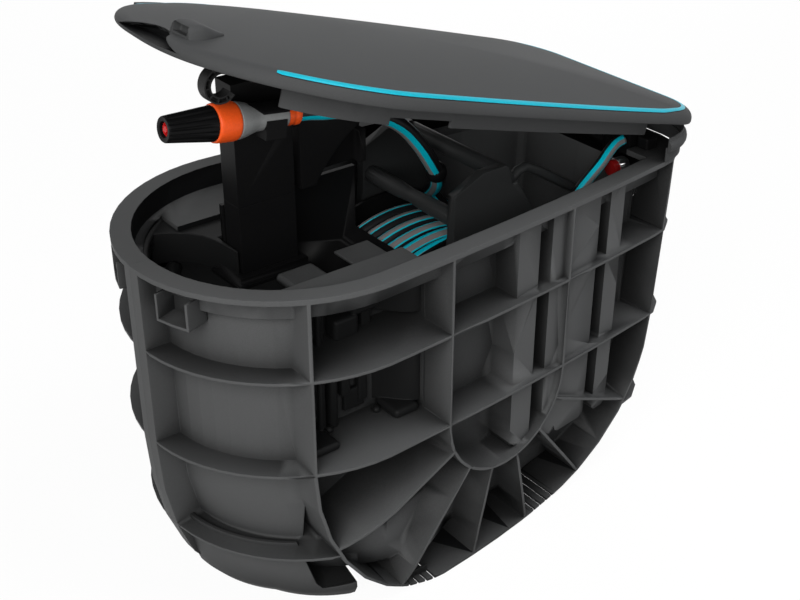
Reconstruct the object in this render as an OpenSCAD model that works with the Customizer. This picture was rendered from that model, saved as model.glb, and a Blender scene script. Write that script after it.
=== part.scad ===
// Garden hose box: a ribbed tub in two halves, a lid that lifts and tilts at its flat end,
// a mast that raises the spray nozzle with the lid, and a rewinding hose reel.
// X runs along the box to the hinge end, Y to the back and Z up; the tub stands on z = 0.

/* [Tub] */
// Height of the rim's top face
rim_z = 410; // [406:1:416]
// Radius of the rim's round end
round_r = 184; // [180:1:190]
// Centre of the round end along X
round_x = -152; // [-158:1:-148]
// Flat end of the rim along X
end_x = 330; // [326:1:338]
// Half width of the rim at its flat end
end_half = 150; // [146:1:156]
// Corner radius of the rim at its flat end
end_r = 60; // [56:1:66]
// Outward bow of the long sides
side_bow = 5; // [2:0.5:8]
// Wall of the tub
wall = 4; // [3:0.5:5]
// Depth of the panels at the round end
end_recess = 28; // [24:1:32]
// Depth of the panels along the sides
side_recess = 45; // [42:1:47]
// Depth of the panels underneath
bottom_recess = 24; // [18:1:26]
// Thickness of the ribs
rib_t = 3.5; // [2.5:0.5:5]
// Width of the rim's flat face
rim_w = 22; // [20:1:25]
// Thickness of the rim
rim_t = 6; // [4:0.5:8]
// Height of the plain band under the rim
band_h = 26; // [25:0.5:28]
// Half width of the seam flange
seam_w = 14; // [11:1:17]
// Radius of the arch rib round the reel's axle
arch_r = 90; // [84:1:94]

/* [Lid] */
// Tilt of the open lid in degrees
lid_tilt = 17; // [14:0.5:20]
// Lift of the hinge when the lid is open
hinge_lift = 39; // [34:1:44]
// Overhang of the lid past the rim
lid_over = 10; // [9:0.5:13]
// Height of the lid's crown above its shoulder
lid_crown = 20; // [18:1:26]
// Wall of the lid
lid_wall = 3.2; // [2.5:0.1:3.6]
// Depth of the skirt below the lid
skirt_h = 23; // [16:1:24]
// Radius of the hinge pin
hinge_pin_r = 4; // [3:0.5:5]
// Width of the trim strip's raised edge
trim_t = 1; // [0.6:0.1:1.6]

/* [Mast] */
// Travel of the mast between closed and open
mast_travel = 150; // [140:1:152]
// Thickness of the mast
mast_t = 30; // [26:1:32]
// Width of the mast's column
mast_w = 70; // [60:1:74]
// Radius of the nozzle's ring
ring_r = 20; // [18:0.5:21]
// Radius of the nozzle's grip
grip_r = 13.5; // [12:0.5:15]

/* [Reel] */
// Height of the reel's axle
reel_z = 200; // [196:1:203]
// Place of the reel's axle along X
reel_x = 28; // [25:1:31]
// Outer diameter of the hose
hose_d = 17.5; // [16:0.5:17.5]
// Outer diameter of the feed hose
feed_d = 14; // [12:0.5:16]
// Turns of hose in the outer layer
turns = 6; // [4:1:6]
// Radius of the inner layers of hose
core_r = 132; // [120:1:132]
// Radius of the reel's flanges
flange_r = 158; // [154:1:160]
// Half width between the reel's flanges
reel_half = 68; // [68:0.5:70]
// Radius of the reel's axle shaft
axle_r = 9; // [7:0.5:10]
// Thickness of the reel's side frames
frame_t = 12; // [9:0.5:13]

/* [Hidden] */
$fn = 48;
overrun = 1;
run_gap = 0.4;
seat_gap = 0.3;
shaft_gap = 0.05;
turn_rings = 24;
wound_r = (core_r + seat_gap) / cos(180 / turn_rings) + hose_d / 2;

// Colours of the mouldings
anthracite = [0.27, 0.28, 0.28];
dark_moulding = [0.11, 0.11, 0.12];
frame_grey = [0.33, 0.34, 0.34];
teal = [0.01, 0.70, 0.78];
orange = [0.93, 0.36, 0.10];
steel = [0.72, 0.73, 0.74];

// Sections of the tub: the round end and the flat end draw in below turn_z
turn_z = 200;
left_sweep = 75;
right_sweep = 110;
end_draft = 12;
arc_steps = 14;
side_steps = 5;
corner_steps = 4;
turn_steps = 5;
corner_x = end_x - end_r;
cavity_recess = bottom_recess + wall;
band_z = rim_z - band_h;

function mix(a, b, u) = a + (b - a) * u;
function side_half(u) = mix(round_r, end_half, u) + 4 * side_bow * u * (1 - u);
function half_ring(oe, os, s, z) =
  let (ls = left_sweep * s, rs = right_sweep * s + end_draft * (1 - z / rim_z), r = round_r - oe)
  concat(
    [for (i = [0:arc_steps]) let (t = 90 * i / arc_steps) [round_x + ls - r * cos(t), -r * sin(t), z]],
    [for (i = [1:side_steps]) let (u = i / side_steps)
      [mix(round_x + ls, corner_x - rs, u), os - side_half(u), z]],
    [for (i = [1:corner_steps]) let (t = 90 * i / corner_steps)
      [corner_x - rs + (end_r - os) * sin(t), end_r - end_half - (end_r - os) * cos(t), z]],
    [[end_x - os - rs, 0, z]]);
function closed_ring(ring, y) =
  y == 0 ? ring : concat(ring, [[ring[len(ring) - 1][0], y, ring[0][2]], [ring[0][0], y, ring[0][2]]]);
function full_ring(o, z) =
  let (h = half_ring(-o, -o, 0, rim_z), n = len(h))
  concat([for (p = h) [p[0], p[1], z]], [for (i = [n - 2:-1:1]) [h[i][0], -h[i][1], z]]);
function flat(ring) = [for (p = ring) [p[0], p[1]]];

// A solid through rings of equal count, each counter-clockwise seen from above
module stack(rings) {
  n = len(rings[0]);
  m = len(rings);
  sides = [for (j = [0:m - 2], i = [0:n - 1]) let (k = (i + 1) % n)
    [j * n + i, (j + 1) * n + i, (j + 1) * n + k, j * n + k]];
  caps = [[for (i = [0:n - 1]) i], [for (i = [n - 1:-1:0]) (m - 1) * n + i]];
  polyhedron(points = [for (r = rings) each r], faces = concat(sides, caps));
}

module half_loft(oe, os, floor_z, top_z, y) {
  turned = [for (k = [0:turn_steps]) let (t = 90 * (1 - k / turn_steps))
    closed_ring(half_ring(oe, os, 1 - cos(t), turn_z - (turn_z - floor_z) * sin(t)), y)];
  stack(concat(turned, [closed_ring(half_ring(oe, os, 0, top_z), y)]));
}

module half_prism(o, z0, z1, y) {
  stack([closed_ring(half_ring(-o, -o, 0, z0), y), closed_ring(half_ring(-o, -o, 0, z1), y)]);
}

module box(x, y, z) {
  translate([x[0], y[0], z[0]]) cube([x[1] - x[0], y[1] - y[0], z[1] - z[0]]);
}

// A profile drawn in X and Z, from y0 to y1
module side_plate(y0, y1) {
  translate([0, y1, 0]) rotate([90, 0, 0]) linear_extrude(y1 - y0) children();
}

// A round bar along Y
module bar_y(x, z, r, y0, y1) {
  translate([x, y0, z]) rotate([-90, 0, 0]) cylinder(r = r, h = y1 - y0);
}

// A tube of n sides along a list of points
function unit(v) = v / norm(v);
function along(p, i) = unit(p[min(i + 1, len(p) - 1)] - p[max(i - 1, 0)]);
module tube(path, r, sides, up) {
  rings = [for (i = [0:len(path) - 1])
    let (d = along(path, i), a = unit(cross(up, d)), b = cross(d, a))
    [for (k = [0:sides - 1]) let (t = 360 * k / sides) path[i] + r * (a * cos(t) + b * sin(t))]];
  m = len(path);
  skin = [for (j = [0:m - 2], k = [0:sides - 1]) let (q = (k + 1) % sides)
    each [[j * sides + k, (j + 1) * sides + k, (j + 1) * sides + q],
      [j * sides + k, (j + 1) * sides + q, j * sides + q]]];
  ends = [[for (k = [0:sides - 1]) k], [for (k = [sides - 1:-1:0]) (m - 1) * sides + k]];
  polyhedron(points = [for (g = rings) each g], faces = concat(skin, ends));
}

// Outline of the side panel: a U with straight flanks
flank_left = -236;
flank_right = 280;
flank_right_top = 295;
flank_left_turn = 143;
flank_right_turn = 205;
flank_steps = 7;
side_reach = 2 * round_r;
function flank(o) = concat(
  [[flank_left + o, rim_z + overrun]],
  [for (i = [0:flank_steps]) let (t = 90 * i / flank_steps)
    [flank_left + flank_left_turn - (flank_left_turn - o) * cos(t), turn_z - (turn_z - o) * sin(t)]],
  [for (i = [flank_steps:-1:0]) let (t = 90 * i / flank_steps)
    [flank_right - flank_right_turn + (flank_right_turn - o) * cos(t), turn_z - (turn_z - o) * sin(t)]],
  [[flank_right_top - o, rim_z + overrun]]);

rib_z_shares = [0.766, 0.49];
low_rib_share = 0.205;
arch_shift = 7;
arch_x = reel_x - arch_shift;
upright_x = [arch_x - arch_r, arch_x + arch_r];
spoke_first = 204;
spoke_step = 26;
spokes = 6;

module horizontal_ribs() {
  for (share = rib_z_shares)
    box([-end_x - end_r, end_x + end_r], [-side_reach, 0], [rim_z * share, rim_z * share + rib_t]);
  difference() {
    box([-end_x - end_r, end_x + end_r], [-side_reach, 0],
      [rim_z * low_rib_share, rim_z * low_rib_share + rib_t]);
    side_plate(-side_reach - overrun, overrun) polygon(flank(0));
  }
}

module panel_lattice() {
  intersection() {
    side_plate(-side_reach, 0) polygon(flank(0));
    union() {
      for (x = upright_x)
        box([x - rib_t / 2, x + rib_t / 2], [-side_reach, 0], [reel_z, rim_z]);
      translate([arch_x, 0, reel_z]) rotate([90, 0, 0]) linear_extrude(side_reach)
        difference() {
          circle(arch_r + rib_t / 2);
          circle(arch_r - rib_t / 2);
          translate([-side_reach, 0]) square([2 * side_reach, side_reach]);
        }
      for (k = [0:spokes - 1])
        translate([arch_x, 0, reel_z]) rotate([0, -spoke_first - k * spoke_step, 0])
          box([arch_r, side_reach], [-side_reach, 0], [-rib_t / 2, rib_t / 2]);
    }
  }
}

// Columns of the side panel, as pairs of X from the arch, with the height of each foot
pad_recess = 9;
pad_r = 9;
pad_spans = [[13, 46], [66, 92], [92, 146], [164, 190]];
pad_feet = [116, 103, 100, 97];
module pads() {
  for (i = [0:len(pad_spans) - 1]) {
    a = arch_x + pad_spans[i][0];
    b = arch_x + pad_spans[i][1];
    box([a, b], [-side_reach, 0], [pad_feet[i] + pad_r, rim_z]);
    box([a + pad_r, b - pad_r], [-side_reach, 0], [pad_feet[i], rim_z]);
    for (x = [a + pad_r, b - pad_r]) bar_y(x, pad_feet[i] + pad_r, pad_r, -side_reach, 0, $fn = 24);
  }
}

// Deep pocket between the front corner and the first upright
pocket_x = [flank_left + 2 * rib_t, upright_x[0] - rib_t];
pocket_y = 97;
pocket_z = [96, rim_z - band_h - wall];

// Grip cups beside the seam at the round end
cup_turn = 19;
cup_half = 21;
cup_z = [rim_z - 46, rim_z - 16];
cup_wall = 3;
module cup_block(grow, z) {
  translate([round_x, 0, 0]) rotate([0, 0, cup_turn])
    box([-round_r - side_bow, end_recess - round_r + grow], [-cup_half - grow, cup_half + grow], z);
}

// Sleeves of the hinge carrier's rods, in the end recess
rod_r = 7;
rod_x = end_x - 34;
rod_y = 38;
sleeve_r = 11;
sleeve_foot = 250;
rod_foot = 262;

// Bolts along the seam
bolt_r = 3;
bolt_head_r = 6.5;
bolt_head_h = 4;
bolt_gap = 0.4;
bolt_depth = 9;
bolt_in = 14;
bolt_z_shares = [0.9, 0.82, 0.66, 0.56];
bolt_x = [round_x - round_r + bolt_in, end_x - end_draft / 2 - bolt_in];
module bolts(y0, y1, r) {
  for (x = bolt_x, share = bolt_z_shares) bar_y(x, rim_z * share, r, y0, y1);
}

// Drain slots along the bottom edge
drain_w = 3;
drain_h = 12;
drain_step = 11;
drain_count = 4;
drain_x = [-126, 80];
module drains() {
  for (x = drain_x, i = [0:drain_count - 1])
    box([x + i * drain_step, x + i * drain_step + drain_w], [-side_reach, -end_half / 2],
      [-overrun, drain_h]);
}

// Water inlet through the wall beside the flat end
inlet_y = -86;
inlet_z = rim_z - 25;
inlet_r = 10.5;
inlet_x = end_x - 61;
inlet_foot = rim_z - 60;
inlet_start = 258;
inlet_mouth = end_x - 33;
module bar_x(r, x0, x1, z) {
  translate([x0, inlet_y, z]) rotate([0, 90, 0]) cylinder(r = r, h = x1 - x0);
}

module inlet_bend() {
  bar_x(inlet_r, inlet_start, inlet_x, inlet_z);
  translate([inlet_x, inlet_y, inlet_z]) sphere(inlet_r);
  translate([inlet_x, inlet_y, inlet_foot]) cylinder(r = inlet_r, h = inlet_z - inlet_foot);
  translate([inlet_x, inlet_y, inlet_foot]) sphere(inlet_r);
  bar_x(inlet_r, inlet_x, inlet_mouth, inlet_foot);
}

module tub_half(bolt_end, inlet_hole) {
  difference() {
    union() {
      difference() {
        union() {
          half_loft(end_recess, side_recess, bottom_recess, band_z + wall, 0);
          intersection() {
            half_loft(pad_recess, pad_recess, pad_recess, rim_z - rim_t, 0);
            pads();
          }
        }
        box(pocket_x, [-side_reach, -pocket_y], pocket_z);
      }
      half_prism(wall - rim_w, band_z - wall, rim_z, 0);
      intersection() {
        half_loft(0, 0, 0, rim_z, 0);
        union() {
          horizontal_ribs();
          panel_lattice();
          side_plate(-side_reach, 0) difference() {
            polygon(flank(0));
            polygon(flank(rib_t));
          }
          box([-end_x - end_r, end_x + end_r], [-seam_w, 0], [0, rim_z]);
          box([-end_x - end_r, end_x + end_r], [-side_reach, 0], [rim_z - rim_t, rim_z]);
          cup_block(0, cup_z);
        }
      }
      translate([rod_x, -rod_y, sleeve_foot]) cylinder(r = sleeve_r, h = band_z - sleeve_foot, $fn = 24);
    }
    difference() {
      half_loft(end_recess + wall, side_recess + wall, cavity_recess, band_z + overrun, overrun);
      box([pocket_x[0] - wall, pocket_x[1] + wall], [-side_reach, wall - pocket_y],
        [pocket_z[0] - wall, pocket_z[1] + wall]);
    }
    half_prism(-rim_w, band_z, rim_z + overrun, overrun);
    cup_block(-cup_wall, [cup_z[0] + cup_wall, rim_z - rim_t]);
    translate([rod_x, -rod_y, rod_foot - mast_travel]) cylinder(r = rod_r + run_gap, h = rim_z);
    if (inlet_hole > 0) bar_x(inlet_hole, inlet_x, end_x, inlet_foot, $fn = 24);
    drains();
    bolts(-bolt_end, overrun, bolt_r + bolt_gap, $fn = 12);
  }
}

module tub_front() {
  color(anthracite) tub_half(bolt_depth + seat_gap, inlet_r + 2 * seat_gap);
}

module tub_back() {
  color(anthracite) mirror([0, 1, 0]) tub_half(seam_w + overrun, 0);
}

module seam_screws() {
  color(steel) {
    bolts(-bolt_depth, seam_w, bolt_r);
    bolts(seam_w, seam_w + bolt_head_h, bolt_head_r);
  }
}

// Shelf round the mast, inside the round end
mast_x = round_x - 52;
mast_y = 8;
guide_wall = 8;
tray_z = rim_z - 72;
tray_t = 4;
tray_gap = 0.25;
tray_end = mast_x + mast_w + guide_wall - tray_t;
bead_r = 9;
bead_in = 26;
bead_half = 41;
tray_r = round_r - end_recess - wall - tray_gap;
module tray_plan(r) {
  intersection() {
    translate([round_x, 0]) circle(r, $fn = 96);
    translate([round_x - round_r, pocket_wall_y]) square([tray_end - round_x + round_r, -2 * pocket_wall_y]);
  }
}
pocket_wall_y = wall + tray_gap - pocket_y;

module inner_tray() {
  color(anthracite) difference() {
    union() {
      translate([0, 0, tray_z]) linear_extrude(tray_t) tray_plan(tray_r);
      translate([round_x, 0, tray_z + tray_t]) rotate([0, 0, 180 - bead_half])
        rotate_extrude(angle = 2 * bead_half, $fn = 72) translate([tray_r - bead_in, 0])
          intersection() {
            circle(bead_r, $fn = 32);
            translate([-bead_r, 0]) square(2 * bead_r);
          }
    }
    box([mast_x - guide_wall - seat_gap, mast_x + mast_w + guide_wall + seat_gap],
      [mast_y - guide_wall - seat_gap, mast_y + mast_t + guide_wall + seat_gap],
      [tray_z - overrun, tray_z + tray_t + overrun]);
  }
}

// Sleeve that guides the mast, with a collar on the shelf and an apron beside it
guide_foot = tray_z - 80;
guide_top = tray_z + 14;
apron_top = rim_z + 10;
collar_w = 6;
apron_t = 6;
apron_foot = reel_z + core_r + hose_d + 6;
apron_end = reel_x - 59;
apron_y = mast_y + mast_t + guide_wall - apron_t / 2;
guard_t = 3;
guard_gap = 1.6;
guard_r = wound_r + hose_d / 2 + guard_gap;
guard_y = [6 - reel_half, apron_y + apron_t];
module guard_plan(r) {
  intersection() {
    translate([reel_x, reel_z]) circle(r, $fn = 96);
    translate([mast_x + mast_w, reel_z]) square([apron_end - mast_x - mast_w, side_reach]);
  }
}

module post_guide() {
  color(dark_moulding) difference() {
    union() {
      difference() {
        side_plate(guard_y[0], guard_y[1]) guard_plan(guard_r + guard_t);
        bar_y(reel_x, reel_z, guard_r, guard_y[0] - overrun, guard_y[1] + overrun, $fn = 96);
        box([mast_x, apron_end], [guard_y[0] - overrun, guard_y[1] + overrun], [0, guide_foot]);
      }
      difference() {
        box([mast_x + mast_w + guide_wall, apron_end], [apron_y, apron_y + apron_t], [guide_foot, apron_foot]);
        bar_y(reel_x, reel_z, guard_r, apron_y - overrun, apron_y + apron_t + overrun, $fn = 96);
      }
      box([mast_x - guide_wall, mast_x + mast_w + guide_wall],
        [mast_y - guide_wall, mast_y + mast_t + guide_wall], [guide_foot, guide_top]);
      box([mast_x - guide_wall - collar_w, mast_x + mast_w + guide_wall],
        [mast_y - guide_wall - collar_w, mast_y + mast_t + guide_wall + collar_w],
        [tray_z + tray_t, tray_z + 2 * tray_t]);
      box([mast_x, apron_end], [apron_y, apron_y + apron_t], [apron_foot, apron_top]);
      box([mast_x, mast_x + mast_w + guide_wall], [apron_y, apron_y + apron_t], [tray_z + tray_t, apron_foot]);
    }
    box([mast_x - run_gap, mast_x + mast_w + run_gap], [mast_y - run_gap, mast_y + mast_t + run_gap],
      [guide_foot - overrun, guide_top + overrun]);
  }
}

// Catch of the latch, on the wall of the round end
hook_y = -46;
hook_w = 22;
catch_w = 30;
catch_t = 10;
catch_h = 16;
catch_z = rim_z - 66;
hook_x = round_x - round_r + end_recess + 31;
wall_x = round_x - sqrt(pow(round_r - end_recess - wall, 2) - pow(hook_y + catch_w / 2, 2));
module latch_catch() {
  color(dark_moulding) intersection() {
    box([wall_x - catch_t, wall_x + catch_t], [hook_y - catch_w / 2, hook_y + catch_w / 2],
      [catch_z, catch_z + catch_h]);
    translate([round_x, 0, catch_z]) cylinder(r = round_r - end_recess - wall - seat_gap, h = catch_h, $fn = 96);
  }
}

// The lid is drawn shut and set open by its hinge
hinge_x = rod_x;
hinge_z = rim_z - 6;
module lid_open() {
  translate([hinge_x, 0, hinge_z + hinge_lift]) rotate([0, lid_tilt, 0])
    translate([-hinge_x, 0, -hinge_z]) children();
}

lid_z = rim_z + 2;
edge_h = 7;
shoulder_z = lid_z + edge_h;
strip_rise = [4.5, 7];
strip_in = [1.5, 6.5];
crown_rise = 9;
crown_in = 16;
crown_z = shoulder_z + crown_rise;
lid_mid_x = (round_x - round_r + end_x) / 2;
crown_shares = [1, 0.9, 0.76, 0.58, 0.38, 0.18, 0.04];
function crown_ring(share, drop) =
  let (base = full_ring(lid_over - crown_in - drop, 0))
  [for (p = base) [mix(lid_mid_x, p[0], share), p[1] * share,
    crown_z + lid_crown * (1 - share * share) - drop]];
module lid_skin(drop, foot) {
  rings = concat(
    [full_ring(lid_over - drop, lid_z - foot), full_ring(lid_over - drop, shoulder_z),
      full_ring(lid_over - strip_in[0] - drop, shoulder_z + strip_rise[0] - drop),
      full_ring(lid_over - strip_in[1] - drop, shoulder_z + strip_rise[1] - drop)],
    [for (share = crown_shares) crown_ring(share, drop)]);
  stack(rings);
}

// Grip mouth in the edge of the round end, arched over its width
mouth_half = 62;
mouth_h = 12.5;
mouth_depth = 30;
mouth_wall = 2.5;
mouth_steps = 12;
mouth_lip = 4;
module grip_mouth(grow) {
  arch = [for (i = [0:mouth_steps]) let (u = 2 * i / mouth_steps - 1)
    [(mouth_half + grow) * u, mouth_lip + grow + mouth_h * (1 - u * u)]];
  translate([round_x - round_r - lid_over - overrun, 0, lid_z]) rotate([90, 0, 90])
    linear_extrude(mouth_depth + grow) polygon(concat(arch, [[mouth_half + grow, mouth_lip - overrun / 2 - grow],
      [-mouth_half - grow, mouth_lip - overrun / 2 - grow]]));
}

module lid_shell() {
  color(anthracite) lid_open() difference() {
    union() {
      difference() {
        lid_skin(0, 0);
        lid_skin(lid_wall, overrun);
      }
      intersection() {
        lid_skin(lid_wall / 2, 0);
        grip_mouth(mouth_wall);
      }
    }
    grip_mouth(0);
  }
}

// Skirt that hangs inside the rim along both sides
skirt_gap = 3;
skirt_t = 3;
skirt_start = -250;
skirt_end = 262;
skirt_step = 7;
notch_x = [-150, -70];
lid_under = shoulder_z - lid_wall;
liner_t = 3;
module lid_liner() {
  color(anthracite) lid_open() intersection() {
    union() {
      difference() {
        translate([0, 0, lid_z - skirt_h]) linear_extrude(skirt_h + edge_h - lid_wall)
          polygon(flat(full_ring(-rim_w - skirt_gap, 0)));
        translate([0, 0, lid_z - skirt_h - overrun]) linear_extrude(rim_z)
          polygon(flat(full_ring(-rim_w - skirt_gap - skirt_t, 0)));
        box([notch_x[0], notch_x[1]], [-side_reach, side_reach], [0, lid_z - skirt_h + skirt_step]);
      }
      difference() {
        translate([0, 0, lid_under - liner_t]) linear_extrude(liner_t)
          polygon(flat(full_ring(lid_over - lid_wall - seat_gap, 0)));
        translate([0, 0, lid_under - liner_t - overrun]) linear_extrude(liner_t + 2 * overrun)
          polygon(flat(full_ring(-rim_w - skirt_gap - skirt_t, 0)));
      }
    }
    box([skirt_start, skirt_end], [-side_reach, side_reach], [0, 2 * rim_z]);
  }
}

// Coloured strip on the shoulder, along both sides and round the flat end
strip_start = 50;
function strip_points(o, z) =
  let (r = full_ring(o, z), n = len(r), k = ceil(arc_steps * strip_start / 90))
  [for (i = [k:n - k]) r[i]];
module trim_strip() {
  low_out = strip_points(lid_over - strip_in[0], shoulder_z + strip_rise[0] + shaft_gap);
  low_in = strip_points(lid_over - strip_in[1], shoulder_z + strip_rise[1] + shaft_gap);
  rise = [0, 0, trim_t];
  n = len(low_out);
  points = concat(low_out, low_in, [for (p = low_in) p + rise], [for (p = low_out) p + rise]);
  sides = [for (i = [0:n - 2], k = [0:3]) let (q = (k + 1) % 4)
    [k * n + i, k * n + i + 1, q * n + i + 1, q * n + i]];
  color(teal) lid_open()
    polyhedron(points = points, faces = concat(sides, [[0, n, 2 * n, 3 * n],
      [4 * n - 1, 3 * n - 1, 2 * n - 1, n - 1]]));
}

// Hinge: lugs on the lid, a carrier on two rods and a pin through both
lug_y = 52;
lug_t = 8;
lug_w = 16;
carrier_half = 51;
carrier_w = 18;
carrier_h = 14;
module under_lid() {
  intersection() {
    lid_skin(lid_wall + shaft_gap, rim_z / 2);
    children();
  }
}

module lid_lugs() {
  color(dark_moulding) lid_open() for (side = [-1, 1])
    difference() {
      under_lid() union() {
        bar_y(hinge_x, hinge_z, lug_w / 2, side * (lug_y + lug_t / 2) - lug_t / 2,
          side * (lug_y + lug_t / 2) + lug_t / 2);
        box([hinge_x - lug_w / 2, hinge_x + lug_w / 2],
          [side * (lug_y + lug_t / 2) - lug_t / 2, side * (lug_y + lug_t / 2) + lug_t / 2],
          [hinge_z, 2 * rim_z]);
      }
      bar_y(hinge_x, hinge_z, hinge_pin_r + shaft_gap, -side_reach, side_reach);
    }
}

module hinge_carrier() {
  color(dark_moulding) translate([0, 0, hinge_lift]) difference() {
    union() {
      box([hinge_x - carrier_w / 2, hinge_x + carrier_w / 2], [-carrier_half, carrier_half],
        [hinge_z - carrier_h / 2, hinge_z + carrier_h / 2]);
      for (side = [-1, 1])
        translate([rod_x, side * rod_y, rod_foot]) cylinder(r = rod_r, h = hinge_z - rod_foot);
    }
    bar_y(hinge_x, hinge_z, hinge_pin_r + shaft_gap, -side_reach, side_reach);
  }
}

module hinge_pin() {
  pin_end = lug_y + lug_t + overrun;
  color(steel) translate([0, 0, hinge_lift]) bar_y(hinge_x, hinge_z, hinge_pin_r, -pin_end, pin_end);
}

// Collars that close the gap at the hinge end; each slides outside the one below
fin_t = 2.2;
fin_gap = 0.5;
fin_h = 21;
fin_start = 262;
fin_lower_share = 1 / 3;
fin_upper_share = 2 / 3;
module collar(o, lift_share) {
  z0 = rim_z - fin_h + hinge_lift * lift_share;
  intersection() {
    difference() {
      translate([0, 0, z0]) linear_extrude(fin_h) polygon(flat(full_ring(o + fin_t, 0)));
      translate([0, 0, z0 - overrun]) linear_extrude(fin_h + 2 * overrun) polygon(flat(full_ring(o, 0)));
    }
    box([fin_start, end_x + side_reach], [-side_reach, side_reach], [0, 2 * rim_z]);
  }
}

module fin_lower() {
  color(anthracite) collar(fin_gap, fin_lower_share);
}

module fin_upper() {
  color(anthracite) collar(2 * fin_gap + fin_t, fin_upper_share);
}

// Small pieces of the lid: lock cover, stud block, latch hook with its pin and spring
lock_x = round_x - round_r + 36;
lock_y = -40;
lock_len = 26;
lock_w = 18;
lock_h = 13;
lock_slot = 4;
lock_z = crown_z;
module lock_cover() {
  color(anthracite) lid_open() difference() {
    hull() {
      translate([lock_x, lock_y, lock_z]) cube([overrun, lock_w, lock_h]);
      translate([lock_x + lock_len, lock_y, lock_z]) cube([overrun, lock_w, lock_h]);
      translate([lock_x + 2 * lock_len, lock_y + lock_w / 2, lock_z + lock_h]) cube(overrun);
    }
    lid_skin(-shaft_gap, 0);
    translate([lock_x - overrun, lock_y + lock_slot, lock_z + lock_slot])
      cube([lock_len, lock_w - 2 * lock_slot, lock_slot]);
  }
}

stud_x = round_x - round_r + 78;
stud_y = -86;
stud_w = 22;
stud_h = 16;
module lid_stud() {
  color(dark_moulding) lid_open() under_lid()
    box([stud_x, stud_x + stud_w], [stud_y, stud_y + stud_w], [lid_under - stud_h, 2 * rim_z]);
}

pin_r = 3;
latch_z = lid_z - 6;
hook_r = 18;
hook_t = 7;
ear_t = 5;
module latch_pin() {
  y0 = hook_y - hook_w / 2 - ear_t - seat_gap;
  y1 = hook_y + hook_w / 2 + ear_t + seat_gap;
  color(dark_moulding) lid_open() {
    bar_y(hook_x, latch_z, pin_r, y0, y1);
    under_lid() for (y = [y0, y1 - ear_t])
      box([hook_x - 2 * pin_r, hook_x + 2 * pin_r], [y, y + ear_t], [latch_z - 2 * pin_r, 2 * rim_z]);
  }
}

module latch_hook() {
  color(dark_moulding) lid_open() difference() {
    union() {
      bar_y(hook_x, latch_z, 2 * pin_r, hook_y - hook_w / 2, hook_y + hook_w / 2 - spring_room);
      side_plate(hook_y - hook_w / 2, hook_y + hook_w / 2 - spring_room)
        translate([hook_x + hook_t, latch_z - hook_r]) difference() {
          circle(hook_r);
          circle(hook_r - hook_t);
          translate([0, -hook_t]) square([2 * hook_r, 2 * hook_r + hook_t]);
        }
    }
    bar_y(hook_x, latch_z, pin_r + shaft_gap, -side_reach, side_reach);
  }
}

spring_room = 9;
spring_r = 4.4;
spring_wire = 0.7;
coil_turns = 3;
coil_steps = 12;
coil_path = [for (i = [0:coil_turns * coil_steps]) let (a = 360 * i / coil_steps)
  [hook_x + spring_r * cos(a), hook_y + hook_w / 2 - spring_room / 2 + (i / coil_steps - coil_turns / 2) * 2.5 * spring_wire,
    latch_z + spring_r * sin(a)]];
module latch_spring() {
  color(steel) lid_open() tube(coil_path, spring_wire, 6, [0, 1, 0]);
}

// Lift mast: a column in the guide and a head that carries the nozzle
head_foot = apron_foot + mast_travel;
head_top = rim_z + 154;
head_end = apron_end - 6;
mast_foot = guide_foot - 24;
mast_end = head_foot - 76;
leaf_x = mast_x + 66;
leaf_z = head_foot + 12;
leaf_w = 24;
leaf_h = 40;
module post_mast() {
  color(dark_moulding)
    box([mast_x, mast_x + mast_w], [mast_y, mast_y + mast_t], [mast_foot, mast_end]);
}

reel_room = guard_r + guard_t + overrun;
module post_head() {
  color(dark_moulding) difference() {
    box([mast_x, head_end], [mast_y, mast_y + mast_t], [mast_end, head_top]);
    bar_y(reel_x, reel_z + mast_travel, reel_room, mast_y - overrun, mast_y + mast_t + overrun);
    box([mast_x + mast_w, mast_x + mast_w + guide_wall + run_gap], [0, 2 * mast_t],
      [mast_end - overrun, guide_top + run_gap + mast_travel]);
    box([leaf_x, leaf_x + leaf_w], [mast_y - overrun, mast_y + mast_t / 2], [leaf_z, leaf_z + leaf_h]);
  }
}

// Middle stage of the mast: a rail plate that follows at half the travel
slide_y = mast_y + mast_t + run_gap;
slide_t = guide_wall - apron_t / 2 - 2 * run_gap;
slide_end = apron_end + 4;
slide_share = 0.5;
slide_h = 76;
rail_w = 12;
module mast_slide() {
  z0 = apron_foot + mast_travel * slide_share;
  color(dark_moulding) {
    box([mast_x + mast_w + guide_wall + run_gap, slide_end], [slide_y, slide_y + slide_t], [z0, z0 + slide_h]);
    box([head_end + run_gap, slide_end], [slide_y - rail_w, slide_y + slide_t], [z0, z0 + slide_h / 2]);
  }
}

// The nozzle lies in front of the head, its tip raised
nozzle_y = -14;
nozzle_x = round_x - 76;
nozzle_z = rim_z + 128.5;
nozzle_tilt = 7.2;
ring_half = 12.5;
neck_len = 58;
tip_len = 52;
tip_r = 13;
module on_nozzle() {
  translate([nozzle_x, nozzle_y, nozzle_z]) rotate([0, 90 + nozzle_tilt, 0]) children();
}

module turned(profile) {
  rotate_extrude($fn = 64) polygon(profile);
}

bore_r = 6;
module nozzle_body() {
  color([0.53, 0.54, 0.54]) on_nozzle() translate([0, 0, ring_half + seat_gap]) turned([
    [bore_r, 0], [ring_r - overrun, 0], [grip_r, ring_half * 2], [grip_r, neck_len],
    [bore_r, neck_len]]);
}

inlay_w = 14;
inlay_t = 2;
module nozzle_inlay() {
  color(dark_moulding) on_nozzle() difference() {
    translate([-grip_r - inlay_t, -inlay_w / 2, ring_half * 3]) cube([grip_r, inlay_w, neck_len - ring_half * 2]);
    translate([0, 0, ring_half * 2]) cylinder(r = grip_r + shaft_gap, h = neck_len * 2);
  }
}

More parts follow.
